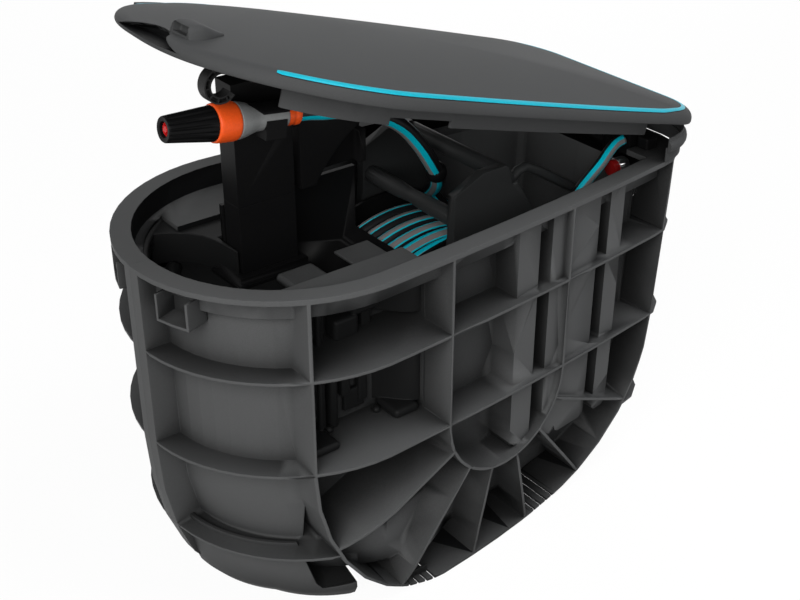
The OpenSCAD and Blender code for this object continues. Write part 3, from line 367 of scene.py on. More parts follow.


# The tub plastic carries painted shade that darkens its recesses.
tub_mat = moulded("tub_polypropylene", colour=(0.086, 0.088, 0.090), rough=0.52, grain=900.0, bump=0.25,
                  edge=0.0016, painted_shade_reach=0.09)
# A near-black copy of the tub plastic: painted shade for the faces inside the cavity and the grip mouth,
# which are the same moulding.
inside_shade_mat = moulded("tub_painted_shade_inside", colour=(0.0055, 0.0057, 0.006), rough=0.46, grain=900.0, bump=0.25,
                     edge=0.0016, gloss=0.025)
round_x, round_r, side_len, side_taper, side_belly, corner_r = -152.0, 184.0, 422.0, 34.0, 20.0, 60.0
corner_x, corner_y = round_x + side_len, round_r - side_taper - corner_r
cavity_half, cavity_r, cavity_floor, cavity_end, end_wall_x = 94.8, 152.8, 110.0, 309.0, 296.0
lip_r, lip_inset, lip_low, lip_top, round_back_x = 163.5, 21.0, 378.0, 403.5, -238.0
facing_share, floor_share = 0.25, 0.6


def half_width(u):
    return round_r - side_taper * u + side_belly * u * (1 - u)


def in_shaded_cavity(c, n):
    x, y, z = (v * mm_per_m for v in c)
    if x < round_x:
        inward = Vector((round_x - x, -y, 0))
        deep = inward.length < cavity_r and z > cavity_floor and (x < round_back_x or abs(y) < cavity_half)
        room = lip_r - inward.length
    else:
        inward = Vector((-1, 0, 0)) if x > end_wall_x else Vector((0, -y, 0))
        deep = abs(y) < cavity_half and x < cavity_end
        room = min(half_width(min(1.0, (x - round_x) / side_len)) - lip_inset - abs(y), cavity_end - x)
    facing = n.dot(inward.normalized()) > facing_share
    in_lip = z > lip_low and room > 0 and facing
    return z < lip_top and ((deep and (n.z > floor_share or facing)) or in_lip)


# Faces inside the cavity and on the rim's inner lip take the painted shade material as a second slot.
for node in ("tub_front", "tub_back"):
    half = skin_of(node, tub_mat, "tub", "base", 22.0)
    half.data.materials.append(inside_shade_mat)
    for face in half.data.polygons:
        if in_shaded_cavity(face.center, face.normal):
            face.material_index = 1

# Round-end bowl: the foot of the tub below its lowest band, a curved wall that turns in to a flat floor.
# Moulded with the tub; the wall flares a little and steps down where it meets the flank pockets.
bowl_from, bowl_sweep, bowl_steps = 3, 77, 32
bowl_top, bowl_step_down, step_from, step_sweep = 92, 68, 56, 8
flare, flare_height, flare_from, flare_sweep, outer_wall_r = 0.16, 60, 44, 34, 110
bowl_section = ((154, 92), (153.5, 64), (149.5, 40), (142, 17), (132, 4), (121, 1), (62, 1), (62, 26),
                (112, 26), (130, 35), (146, 58), (150, 92))
bowl = bmesh.new()
for side in (-1, 1):
    rows = []
    for i in range(bowl_steps + 1):
        deg = bowl_from + bowl_sweep * i / bowl_steps
        a = math.radians(deg)
        to_flank = share_of(deg, flare_from, flare_sweep)
        top_here = bowl_top - bowl_step_down * share_of(deg, step_from, step_sweep)
        row = []
        for r, z in bowl_section:
            if r > outer_wall_r:
                r = r * (1 + flare * to_flank * max(0.0, 1 - z / flare_height))
            place = Vector((round_x - r * math.cos(a), side * r * math.sin(a), min(z, top_here)))
            row.append(bowl.verts.new(place / mm_per_m))
        rows.append(row)
    loft(bowl, rows, ends=True)
finish_made(bowl, "round_end_bowl", tub_mat, "tub", "base", 50.0)


# Flank pockets: cast-in posts, brackets, tongue plates and bosses that hold the box's ground anchors.
# Part of each tub half, moulded with it on the pocket's back wall.
def soft_box(bm, lo, hi, r, seg=3, unit=mm_per_m):
    made = bmesh.ops.create_cube(bm, size=1.0)["verts"]
    for v in made:
        v.co = Vector([(lo[i] + hi[i]) / 2 + v.co[i] * (hi[i] - lo[i]) for i in range(3)]) / unit
    edges = list({e for v in made for e in v.link_edges})
    bmesh.ops.bevel(bm, geom=edges, offset=r / unit, segments=seg, profile=0.5, affect="EDGES",
                    clamp_overlap=True)


def soft_prism(bm, outline, lift, r, seg=3, top_only=False):
    lower = [bm.verts.new(Vector(p) / mm_per_m) for p in outline]
    upper = [bm.verts.new((Vector(p) + Vector(lift)) / mm_per_m) for p in outline]
    n = len(outline)
    faces = [bm.faces.new(lower), bm.faces.new(upper[::-1])]
    for i in range(n):
        faces.append(bm.faces.new((lower[(i + 1) % n], lower[i], upper[i], upper[(i + 1) % n])))
    bmesh.ops.recalc_face_normals(bm, faces=faces)
    edges = list(faces[1].edges) + ([] if top_only else list(faces[0].edges))
    if r:
        bmesh.ops.bevel(bm, geom=edges, offset=r / mm_per_m, segments=seg, profile=0.5, affect="EDGES",
                        clamp_overlap=True)


def post(bm, x, y, z0, z1, r):
    made = bmesh.ops.create_cone(bm, cap_ends=True, segments=16, radius1=r / mm_per_m, radius2=r / mm_per_m,
                                 depth=(z1 - z0) / mm_per_m)["verts"]
    for v in made:
        v.co += Vector((x, y, (z0 + z1) / 2)) / mm_per_m


def wall_block(bm, side, x0, x1, out, z0, z1, r, start=0.0):
    ys = sorted((side * (pocket_wall + start), side * (pocket_wall + out)))
    soft_box(bm, (x0, ys[0], z0), (x1, ys[1], z1), r)


# A near-black copy of the tub plastic: painted shade for the pieces in the flank pockets and inside the
# round end.
recess_shade_mat = moulded("tub_plastic_recess_shade", colour=(0.010, 0.0103, 0.0106), rough=0.42, grain=900.0,
                    bump=0.25, edge=0.0016, gloss=0.06)
pocket_wall, sunk = 97.0, 0.5
bulge_x, bulge_len, bulge_out, bulge_power, bulge_foot, bulge_steps = -114, 41, 34, 1.3, 9, 10
pocket_blocks = (
    (-174, -143, 21, 315.5, 341, 4.5), (-154, -112, 28, 354, 380.5, 4), (-150, -116, 20, 338, 358, 4),
    (-133, -121, 11, 316, 342, 2), (-176, -165, 12, 202.5, 312.5, 4), (-159, -147, 9, 236, 312.5, 2),
    (-137, -125, 9, 222, 312.5, 2), (-159, -125, 8, 286, 312.5, 2), (-154, -127, 6, 214, 240, 2),
    (-223, -187, 46, 202.5, 213, 4.5), (-110, -78, 40, 202.5, 214, 4.5), (-152, -137, 10, 158, 199.5, 2),
    (-214, -182, 18, 152, 199.5, 8))
drain_backing = (-127, -92, 74, 2.5, 13, 0.8, 71)
for side, name in ((-1, "pocket_fittings_front"), (1, "pocket_fittings_back")):
    bm = bmesh.new()
    for z0, z1 in ((315.5, 380.5), (202.5, 312.5)):
        post(bm, -191, side * 112, z0, z1, 3.2)
        post(bm, -183, side * 106, z0, z1, 1.8)
        foot = z0 + bulge_foot
        bulge = []
        for k in range(bulge_steps + 1):
            t = k / bulge_steps
            out = bulge_out * math.sin(math.pi / 2 * t) ** bulge_power
            bulge.append((bulge_x + bulge_len * t, side * (pocket_wall - sunk + out), foot))
        bulge.append((bulge_x + bulge_len, side * (pocket_wall - sunk), foot))
        soft_prism(bm, bulge, (0, 0, z1 - z0 - bulge_foot), 1.5)
    for block in pocket_blocks:
        wall_block(bm, side, *block)
    for x in (-180, -117):
        ball = bmesh.ops.create_icosphere(bm, subdivisions=3, radius=0.0048)["verts"]
        for v in ball:
            v.co += Vector((x, side * 110, 206)) / mm_per_m
    wall_block(bm, side, *drain_backing)
    finish_piece(bm, name, recess_shade_mat, "tub", "base", 35.0)

# Shelf in the round end: a moulded tray with a raised floor behind the mast, rounded at its lip.
# It drops over the mast's sleeve and rests on the tub's wall; beads stiffen the wall above it.
# The tray, raised shelf and wall beads take the painted shade material, as they sit deep inside the tub.
skin_of("inner_tray", recess_shade_mat, "tub", "base")
tray_top, shelf_top, wall_in = 342.0, 379.0, 151.0
lip = [(-262, 104), (-250, 100), (-238, 92), (-227, 81), (-218, 67), (-213, 52), (-210, 36), (-208.5, 20),
       (-208, 12)]
arc = []
for deg in range(122, 137, 3):
    a = math.radians(deg)
    arc.append((round_x + wall_in * math.cos(a), wall_in * math.sin(a)))
shelf = lip + [(-206, 12), (-206, 54), (-128, 54), (-128, 92), (-231.6, 92)] + arc
bm = bmesh.new()
soft_prism(bm, [(x, y, tray_top) for x, y in shelf], (0, 0, shelf_top - tray_top), 7.0, 4, True)
finish_piece(bm, "raised_shelf", recess_shade_mat, "tub", "base", 40.0)
bm = bmesh.new()
soft_box(bm, (-178, -64, tray_top), (-130, -12, 353.5), 8.0, 4)
soft_box(bm, (-98, -93, 349.5), (-52, -8, 353.0), 1.5, 2)
finish_piece(bm, "shelf_blocks", tub_mat, "tub", "base", 40.0)
bead_wall_r, bead_from, bead_to, bead_steps, bead_sides = 151.9, 123, 205, 30, 8
bm = bmesh.new()
for height, bead_r in ((376.0, 5.0), (364.0, 4.0)):
    rows = []
    for i in range(bead_steps + 1):
        a = math.radians(bead_from + (bead_to - bead_from) * i / bead_steps)
        row = []
        for k in range(bead_sides + 1):
            b = math.pi * k / bead_sides + math.pi / 2
            r = bead_wall_r + bead_r * math.cos(b)
            place = Vector((round_x + r * math.cos(a), r * math.sin(a), height + bead_r * math.sin(b)))
            row.append(bm.verts.new(place / mm_per_m))
        rows.append(row)
    loft(bm, rows, around=False)
    bm.faces.new(rows[0])
    bm.faces.new(rows[-1][::-1])
finish_made(bm, "wall_beads", recess_shade_mat, "tub", "base", 50.0)

# Fixed black mouldings inside: mast sleeve, latch catch, spring housing, swivel, manifold and stop ball.
# Injection moulded acetal, satin, screwed or snapped to the tub.
dark_mat = moulded("black_acetal", colour=(0.005, 0.005, 0.0053), rough=0.38, grain=700.0, bump=0.12,
                   edge=0.0012, gloss=0.06)
for node in ("post_guide", "latch_catch", "spring_housing", "swivel_elbow", "inlet_manifold",
             "hose_stop_ball"):
    skin_of(node, dark_mat, "dark", "base")

# Reel and its frame: grey side plates, two guide bars and a brace bar, moulded and snapped together.
# The drum and its cheeks are black; the axle runs in two steel bushes in the plates.
frame_mat = moulded("frame_polyamide", colour=(0.022, 0.023, 0.0235), rough=0.42, grain=800.0, bump=0.15,
                    edge=0.0020, gloss=0.10)
for node in ("frame_front", "frame_back", "frame_hoop", "guide_bar_upper", "guide_bar_lower"):
    skin_of(node, frame_mat, "frame", "base")
for node in ("reel_drum", "reel_flange_front", "reel_flange_back"):
    skin_of(node, dark_mat, "dark", "reel")

# Lid: one grained moulding with a rounded shoulder and a low crown, shown open on its hinge.
# An eye-shaped grip mouth is sunk in the tip, with its own wall; the skirt below fits inside the rim.
# The tip is drawn in and lowered toward the far side, as the photograph shows the lid's outline.
lid_mat = moulded("lid_grained", colour=(0.058, 0.0595, 0.061), rough=0.55, grain=1100.0, bump=0.35,
                  edge=0.0010, gloss=0.03)
skin_of("lid_liner", lid_mat, "lid", "lid")
hinge_at, lid_lift, open_deg = Vector((296, 0, 404)), Vector((0, 0, 39)), 17
open_turn = Matrix.Rotation(math.radians(open_deg), 3, "Y")
lid_low, lid_over = 412, 10
crown_x, crown_low, under_crown_low, crown_rise, crown_inset = -3, 428.4, 425, 19.4, -6
crown_reach_x, crown_reach_y = 327, 178
tip_pull, pull_from, pull_to, pull_fade = 13.0, -30, 94, 36
tip_drop, drop_from_x, drop_fade = 8.0, 150, 16
arc_steps, side_steps, corner_steps, end_steps = 120, 60, 20, 10


def opened(q):
    return (open_turn @ (q - hinge_at) + hinge_at + lid_lift) / mm_per_m


def ease(t):
    t = min(1.0, max(0.0, t))
    return t * t * (3 - 2 * t)


def lid_form(q):
    q = Vector(q)
    dx, dy = round_x - q.x, q.y
    if dx > 0:
        r, turn = math.hypot(dx, dy), math.degrees(math.atan2(dy, dx))
        pull = tip_pull * ease((turn - pull_from) / pull_fade) * ease((pull_to - turn) / pull_fade)
        pull *= min(1.2, r / (round_r + lid_over)) ** 3
        k = (r - pull) / r if r > 1 else 1.0
        q.x, q.y = round_x - dx * k, dy * k
    along = min(1.2, max(-0.4, (drop_from_x - q.x) / (drop_from_x - round_x)))
    across = share_of(q.y, -round_r, 2 * round_r)
    q.z -= tip_drop * along * across * share_of(q.z, lid_low, drop_fade)
    return q


def lid_outline(o):
    pts = []
    for i in range(arc_steps):
        a = math.pi * i / arc_steps
        pts.append((round_x - (round_r + o) * math.sin(a), -(round_r + o) * math.cos(a)))
    half = []
    for i in range(side_steps):
        u = i / side_steps
        half.append((round_x + side_len * u, half_width(u) + o))
    for i in range(corner_steps):
        a = math.pi * i / (2 * corner_steps)
        half.append((corner_x + (corner_r + o) * math.sin(a), corner_y + (corner_r + o) * math.cos(a)))
    half += [(corner_x + corner_r + o, corner_y - corner_y / end_steps * i) for i in range(end_steps + 1)]
    return pts + half + [(x, -y) for x, y in reversed(half[1:-1])]


def lid_ring(o, z):
    return [Vector((x, y, z)) for x, y in lid_outline(o)]


def crown_z(low, share):
    return low + crown_rise * (1 - share * share)


def crown_ring(share, low):
    z = crown_z(low, share)
    return [Vector((crown_x + share * (x - crown_x), share * y, z)) for x, y in lid_outline(crown_inset)]


lower_edge = ((8.4, 412), (9.5, 412.6))
shoulder = ((10, 414.2), (9.9, 416.6), (9.4, 419), (8.3, 421.4), (6.6, 423.6), (4.2, 425.5), (1.2, 427),
            (-2.4, 427.9))
under_shoulder = ((6.2, 412), (6.2, 417), (4.6, 420), (1.6, 422.6), (-2.4, 424.2))
crown_shares = (1, 0.96, 0.9, 0.83, 0.75, 0.66, 0.56, 0.45, 0.33, 0.2, 0.08)
under_shares = (1, 0.9, 0.75, 0.56, 0.33, 0.08)
outer_rows = [lid_ring(o, z) for o, z in lower_edge + shoulder]
outer_rows += [crown_ring(share, crown_low) for share in crown_shares]
inner_rows = [lid_ring(o, z) for o, z in under_shoulder]
inner_rows += [crown_ring(share, under_crown_low) for share in under_shares]


def skin_rows(bm, rows, low, edge=None):
    made = [[bm.verts.new(p) for p in row] for row in rows]
    loft(bm, [edge] + made if edge else made, flip=bool(edge))
    last = made[-1]
    peak = bm.verts.new((crown_x, 0, low + crown_rise))
    for p, q in zip(last, last[1:] + last[:1]):
        bm.faces.new((q, p, peak) if edge else (p, q, peak))
    return made[0]


def as_object(bm, name):
    bmesh.ops.recalc_face_normals(bm, faces=bm.faces)
    mesh = bpy.data.meshes.new(name)
    bm.to_mesh(mesh)
    bm.free()
    return put_object(name, mesh)


def cut_with(piece, tool, how):
    cut = piece.modifiers.new("cut", "BOOLEAN")
    cut.operation, cut.solver, cut.object = how, "EXACT", tool
    done = baked(piece)
    piece.modifiers.clear()
    piece.data = done
    bpy.data.objects.remove(tool)


bm = bmesh.new()
bm.faces.new(skin_rows(bm, outer_rows, crown_low))
solid_lid = as_object(bm, "lid_solid")
bm = bmesh.new()
outer_edge = skin_rows(bm, outer_rows, crown_low)
skin_rows(bm, inner_rows, under_crown_low, outer_edge)
lid_shell = as_object(bm, "lid_shell_skin")

mouth_turn, mouth_half, mouth_low, mouth_rise, mouth_steps = 3.0, 19.5, 417.2, 17.0, 48
mouth_back, mouth_depth, mouth_out = 193, 33, 232
mouth_floor_z, mouth_floor_tilt, mouth_floor_r = 418.6, 0.8, 188
# These sizes bound the faces inside the grip mouth that take the painted shade material.
mouth_shade_half, mouth_shade_r, mouth_shade_x, mouth_shade_low, mouth_shade_skin = 21, (150, 176), -290, 416, 2.0


def mouth_tool(name, wall):
    bm = bmesh.new()
    rows = []
    for i in range(mouth_steps + 1):
        t = -1 + 2 * i / mouth_steps
        a = math.radians(mouth_turn + (mouth_half + wall * 0.5) * t)
        lift = mouth_rise * max(0.03, math.cos(math.pi * t / 2)) ** 1.3
        back = mouth_back - mouth_depth * max(0.0, 1 - t * t) ** 0.5 - wall
        low, high = mouth_low - wall, mouth_low + lift + wall
        tall = high - low
        section = ((mouth_out, low), (back + 3, low), (back, low + 0.25 * tall), (back, low + 0.5 * tall),
                   (back + 6, low + 0.8 * tall), (back + 13, high - 0.5), (mouth_out, high + 3))
        rows.append([bm.verts.new((round_x - r * math.cos(a), -r * math.sin(a), z)) for r, z in section])
    loft(bm, rows, ends=True)
    return as_object(bm, name)


def in_shaded_mouth(c, normal):
    r, turn = math.hypot(c.x - round_x, c.y), math.degrees(math.atan2(-c.y, round_x - c.x))
    if abs(turn - mouth_turn) >= mouth_shade_half or r <= mouth_shade_r[0] or c.x >= mouth_shade_x:
        return False
    reach = math.hypot((c.x - crown_x) / crown_reach_x, c.y / crown_reach_y)
    on_floor = c.z < mouth_floor_z and normal.z > mouth_floor_tilt and r < mouth_floor_r
    below_skin = mouth_shade_low < c.z < crown_z(crown_low, min(1.0, reach)) - mouth_shade_skin
    return on_floor or (r < mouth_shade_r[1] and below_skin)


mouth, mouth_wall = mouth_tool("mouth_room", 0.0), mouth_tool("mouth_wall", 2.2)
cut_with(mouth_wall, solid_lid, "INTERSECT")
cut_with(lid_shell, mouth_wall, "UNION")
cut_with(lid_shell, mouth, "DIFFERENCE")
shell = bmesh.new()
shell.from_mesh(lid_shell.data)
# Faces inside the grip mouth get painted shade: the near-black copy of the plastic, as material index 1.
for face in shell.faces:
    face.material_index = 1 if in_shaded_mouth(face.calc_center_median(), face.normal) else 0
for v in shell.verts:
    v.co = opened(lid_form(v.co))
bpy.data.objects.remove(lid_shell)
lid_skin = finish_piece(shell, "lid_shell_skin", lid_mat, "lid", "lid", 34.0, ("lid_shell",))
lid_skin.data.materials.append(inside_shade_mat)

# Trim strip: a turquoise second shot let into the shoulder, narrowed at its ends, with a dark joint line.
# It runs from the tip's front, round the hinge end and back, five millimetres wide.
strip_mat = moulded("trim_turquoise", colour=(0.0, 0.40, 0.53), rough=0.32, grain=300.0, bump=0.05,
                    edge=0.0006, gloss=0.15)
joint_mat = moulded("trim_joint", colour=(0.010, 0.011, 0.012), rough=0.5, grain=300.0, bump=0.05,
                    edge=0.0006)
strip_mid, strip_half, joint_half, strip_deep = 3.0, 2.6, 3.5, 1.6
strip_first, strip_last, end_taper = 27, 93, 0.6
climb, climb_from_x, climb_len = 7.0, 235, 85
outline_cache = {}


def lid_outline_at(o, i):
    key = round(o, 3)
    if key not in outline_cache:
        outline_cache[key] = lid_outline(o)
    return outline_cache[key][i]


def shoulder_z(o):
    steps = shoulder + ((crown_inset, crown_low),)
    for (o0, z0), (o1, z1) in zip(steps, steps[1:]):
        if o1 <= o <= o0:
            return z0 + (z1 - z0) * (o0 - o) / (o0 - o1)
    return crown_low


def band(half, proud):
    total = len(lid_outline(strip_mid))
    order = [i % total for i in range(strip_first, strip_last - total, -1)]
    rows = []
    for j, i in enumerate(order):
        wide = end_taper if j in (0, len(order) - 1) else 1.0
        mid = strip_mid - climb * ease((lid_outline_at(strip_mid, i)[0] - climb_from_x) / climb_len)
        row = []
        for k in (-1, -0.5, 0, 0.5, 1):
            o = mid + half * k * wide
            x, y = lid_outline_at(o, i)
            row.append(Vector((x, y, shoulder_z(o) + proud * (1 - 0.5 * abs(k)))))
        rows.append(row)
    bm = bmesh.new()
    top = [[bm.verts.new(opened(lid_form(p))) for p in row] for row in rows]
    low = [[bm.verts.new(opened(lid_form(p - Vector((0, 0, strip_deep))))) for p in row] for row in rows]
    loft(bm, [upper + lower[::-1] for upper, lower in zip(top, low)])
    for j in (0, -1):
        for k in range(len(top[j]) - 1):
            bm.faces.new((top[j][k], low[j][k], low[j][k + 1], top[j][k + 1]))
    return bm


finish_made(band(strip_half, 0.55), "trim_strip_skin", strip_mat, "trim", "lid", 40.0, ("trim_strip",))
finish_made(band(joint_half, 0.12), "trim_joint_line", joint_mat, "lid", "lid", 40.0)

# Lock cover: a hooded scoop on the crown with a slot for a padlock's shackle, and a tail that runs out.
# Moulded with the lid's grain and clipped in from below.
lock_y, lock_points, lock_sunk, lock_deep, lock_reach_y = -38, 13, 2.0, 5, 190
lock_rows = ((-312, 17, 9.5), (-309, 18.5, 11), (-300, 18.5, 11), (-294, 17.5, 10), (-286, 14, 7),
             (-277, 9, 3.5), (-268, 4, 0.6))
bm = bmesh.new()
rings = []
for x, wide, high in lock_rows:
    row = []
    for k in range(lock_points):
        u = -1 + 2 * k / (lock_points - 1)
        y = lock_y + wide * math.copysign(abs(u) ** 0.7, u)
        reach = max(abs(y) / lock_reach_y, math.hypot((x - crown_x) / crown_reach_x, y / crown_reach_y))
        row.append(Vector((x, y, crown_z(crown_low, min(1, reach)) - lock_sunk + high * (1 - abs(u) ** 5))))
    row += [row[-1] - Vector((0, 0, lock_deep)), row[0] - Vector((0, 0, lock_deep))]
    rings.append([bm.verts.new(p) for p in row])
loft(bm, rings, ends=True)
lock = as_object(bm, "lock_cover_skin")
bm = bmesh.new()
soft_box(bm, (-320, -51, 428), (-303, -25, 436.6), 2.0, unit=1.0)
scoop = as_object(bm, "scoop")
cut_with(lock, scoop, "DIFFERENCE")
bm = bmesh.new()
bm.from_mesh(lock.data)
for v in bm.verts:
    v.co = opened(v.co)
bpy.data.objects.remove(lock)
finish_piece(bm, "lock_cover_skin", lid_mat, "lid", "lid", 34.0, ("lock_cover",))

# Hinge-end collars: two nested bands that close the gap under the open lid, the upper one bulging.
# They hang on the hinge carrier's slide and drop round the rim as the lid comes down.
collar_from_x = 263
upper_section = ((3.2, 423.6), (5.6, 423.6), (7.6, 425), (8.7, 427.4), (8.9, 430), (8.2, 433), (6.4, 435.2),
                 (4.6, 436.4), (4.4, 441), (3.2, 441))
lower_section = ((0.5, 410.4), (2.0, 410.4), (2.7, 411.2), (2.7, 427), (2.0, 428), (0.5, 428))
for node, body, section in (("fin_upper", "collar_upper", upper_section),
                            ("fin_lower", "collar_lower", lower_section)):
    bm = bmesh.new()
    rows = []
    for o, z in section:
        line = [p for p in lid_outline(o) if p[0] > collar_from_x]
        rows.append([bm.verts.new(Vector((x, y, z)) / mm_per_m) for x, y in line])
    loft(bm, rows, around=False, ring=True)
    bm.faces.new([row[0] for row in rows])
    bm.faces.new([row[-1] for row in reversed(rows)])
    finish_made(bm, node + "_skin", lid_mat, "lid", body, 40.0, (node,))

# Corner deck: a flat web that closes the rim's front corner, with a black cap let into it.
# Moulded with the tub; the cap covers the front guide of the hinge and is pressed into the deck.
deck_low, deck_t, deck_r = 403, 6.8, 38
deck = [(264, -97), (279.5, -97), (279.5, -114), (298, -114), (298, -97), (307.3, -97)]
for deg in range(-15, -91, -5):
    a = math.radians(deg)
    deck.append((corner_x + deck_r * math.cos(a), -corner_y + deck_r * math.sin(a)))
deck.append((264, -128.3))
bm = bmesh.new()
soft_prism(bm, [(x, y, deck_low) for x, y in deck], (0, 0, deck_t), 0)
finish_piece(bm, "corner_deck", tub_mat, "tub", "base", 40.0)
bm = bmesh.new()
soft_box(bm, (280.0, -113.5, 401), (297.5, -97.5, 423.5), 2.5)
finish_piece(bm, "hinge_cap", dark_mat, "dark", "base", 40.0)

# Lid fittings: hinge lugs, stud and latch pin below the lid, and the carrier of the hinge.
# Black acetal mouldings, pressed or screwed to the lid's bosses.
for node, body in (("lid_lugs", "lid"), ("lid_stud", "lid"), ("latch_pin", "lid"),
                   ("hinge_carrier", "carrier")):
    skin_of(node, dark_mat, "dark", body)

# Latch hook: a curved claw under the tip, two thin rims on a web with rungs between, and a solid nose.
# Acetal, snapped on the latch pin; its spring holds the nose behind the catch in the tub.
claw_mat = moulded("claw_acetal", colour=(0.016, 0.016, 0.0165), rough=0.42, grain=700.0, bump=0.12,
                   edge=0.0008, gloss=0.10)
claw_mid, claw_y = Vector((-270, 0, 388)), (-57.0, -44.0)
claw_r, claw_t, claw_rim, claw_steps = 18.0, 7.0, 1.6, 40
web_y, web_in, nose_in, nose_side = (-51.6, -49.4), 1.0, 0.8, 0.4
eye_mid, eye_out, eye_in, eye_sides = Vector((-277, 0, 406)), 6.0, 3.05, 32
claw_inner = claw_r - claw_t


def round_point(mid, r, y, a):
    return mid + Vector((r * math.cos(a), y, r * math.sin(a)))


def claw_arc(bm, r0, r1, y0, y1, start, sweep, steps):
    rows = []
    for i in range(steps + 1):
        a = math.radians(start + sweep * i / steps)
        corners = ((r0, y0), (r1, y0), (r1, y1), (r0, y1))
        rows.append([bm.verts.new(round_point(claw_mid, r, y, a)) for r, y in corners])
    loft(bm, rows, ends=True)


bm = bmesh.new()
claw_arc(bm, claw_r - claw_rim, claw_r, *claw_y, 96, 240, claw_steps)
claw_arc(bm, claw_inner, claw_inner + claw_rim, *claw_y, 106, 230, claw_steps)
claw_arc(bm, claw_inner + web_in, claw_r - web_in, *web_y, 100, 236, claw_steps)
claw_arc(bm, claw_inner + nose_in, claw_r - nose_in, claw_y[0] + nose_side, claw_y[1] - nose_side,
         318, 18.5, 4)
eye_rings = []
for r, y in ((eye_in, claw_y[0]), (eye_out, claw_y[0]), (eye_out, claw_y[1]), (eye_in, claw_y[1])):
    angles = [2 * math.pi * i / eye_sides for i in range(eye_sides)]
    eye_rings.append([bm.verts.new(round_point(eye_mid, r, y, a)) for a in angles])
loft(bm, eye_rings, ring=True)
for v in bm.verts:
    v.co = opened(v.co)
finish_made(bm, "latch_hook_skin", claw_mat, "dark", "latch", 40.0, ("latch_hook",))


def node_tree(name, sizes):
    tree = bpy.data.node_groups.new(name, "GeometryNodeTree")
    tree.interface.new_socket("Geometry", in_out="INPUT", socket_type="NodeSocketGeometry")
    for label in sizes:
        tree.interface.new_socket(label, in_out="INPUT", socket_type="NodeSocketFloat")
    tree.interface.new_socket("Finish", in_out="INPUT", socket_type="NodeSocketMaterial")
    tree.interface.new_socket("Geometry", in_out="OUTPUT", socket_type="NodeSocketGeometry")
    return tree, tree.nodes.new("NodeGroupInput"), tree.nodes.new("NodeGroupOutput")


def grown_piece(tree, name, seeds, sizes, mat, slot, body, nodes=()):
    mesh = bpy.data.meshes.new(name)
    mesh.from_pydata(seeds, [], [])
    piece = put_object(name, mesh)
    grow = piece.modifiers.new("grow", "NODES")
    grow.node_group = tree
    values = dict(sizes, Finish=mat)
    for item in tree.interface.items_tree:
        if item.in_out == "INPUT" and item.name in values:
            grow[item.identifier] = values[item.name]
    done = baked(piece)
    bpy.data.objects.remove(piece)
    bm = bmesh.new()
    bm.from_mesh(done)
    return finish_piece(bm, name, mat, slot, body, 35.0, nodes)


rung_sizes = {"Mid radius": claw_r - claw_t / 2, "Start": math.radians(128), "Sweep": math.radians(180),
              "Rungs": 6.0, "Depth": claw_t - 2.2, "Thick": 1.4, "Width": claw_y[1] - claw_y[0] - 1.0}
rung_tree, r_in, r_out = node_tree("claw_rungs", rung_sizes)
rn, rl = rung_tree.nodes, rung_tree.links
r_arc = add_node(rn, "GeometryNodeCurveArc", {"Resolution": 48})
r_spread = rn.new("GeometryNodeCurveToPoints")
r_bar = rn.new("GeometryNodeMeshCube")
r_size = rn.new("ShaderNodeCombineXYZ")
r_put = rn.new("GeometryNodeInstanceOnPoints")
r_real = rn.new("GeometryNodeRealizeInstances")
r_finish = rn.new("GeometryNodeSetMaterial")
wire(rl, (r_in, "Mid radius", r_arc, "Radius"), (r_in, "Start", r_arc, "Start Angle"),
         (r_in, "Sweep", r_arc, "Sweep Angle"), (r_arc, "Curve", r_spread, "Curve"),
         (r_in, "Rungs", r_spread, "Count"), (r_in, "Depth", r_size, "X"), (r_in, "Width", r_size, "Y"),
         (r_in, "Thick", r_size, "Z"), (r_size, "Vector", r_bar, "Size"),
         (r_spread, "Points", r_put, "Points"), (r_spread, "Rotation", r_put, "Rotation"),
         (r_bar, "Mesh", r_put, "Instance"), (r_put, "Instances", r_real, "Geometry"),
         (r_real, "Geometry", r_finish, "Geometry"), (r_in, "Finish", r_finish, "Material"),
         (r_finish, "Geometry", r_out, "Geometry"))
rungs = grown_piece(rung_tree, "latch_hook_rungs", [(0, 0, 0)], rung_sizes, claw_mat, "dark", "latch")
for v in rungs.data.vertices:
    x, y, z = v.co
    v.co = opened(claw_mid + Vector((x, (claw_y[0] + claw_y[1]) / 2 + z, y)))
rungs.data.flip_normals()

# Mast: black column and head with a middle stage, and the cradle that holds the nozzle.
# Moulded acetal; the column slides in the sleeve and lifts the nozzle with the lid.
for node, body in (("post_mast", "mast"), ("post_head", "mast"), ("nozzle_cradle", "mast"),
                   ("mast_slide", "middle_stage")):
    skin_of(node, dark_mat, "dark", body)

# Spray nozzle: grey body with a black soft saddle, an orange twist ring and a black fluted tip.
# Turned and moulded parts on one sloping axis; ring, tip and insert turn together.
nozzle_mid, nozzle_lean = Vector((-0.228, -0.014, 0.5385)), math.radians(97.2)
nozzle_x = Vector((math.cos(nozzle_lean), 0, -math.sin(nozzle_lean)))
nozzle_y = Vector((0, 1, 0))
nozzle_z = Vector((math.sin(nozzle_lean), 0, math.cos(nozzle_lean)))


def on_nozzle(r, a, z):
    return nozzle_mid + (nozzle_x * r * math.cos(a) + nozzle_y * r * math.sin(a) + nozzle_z * z) / mm_per_m


def turned_piece(name, rings, mat, slot, body, nodes, flute=None, steps=96):
    bm = bmesh.new()
    rows = []
    for k, (r, z) in enumerate(rings):
        row = []
        for i in range(steps):
            a = 2 * math.pi * i / steps
            row.append(bm.verts.new(on_nozzle(r - (flute(a, k) if flute else 0.0), a, z)))
        rows.append(row)
    loft(bm, rows, ring=True)
    return finish_made(bm, name, mat, slot, body, 40.0, nodes)


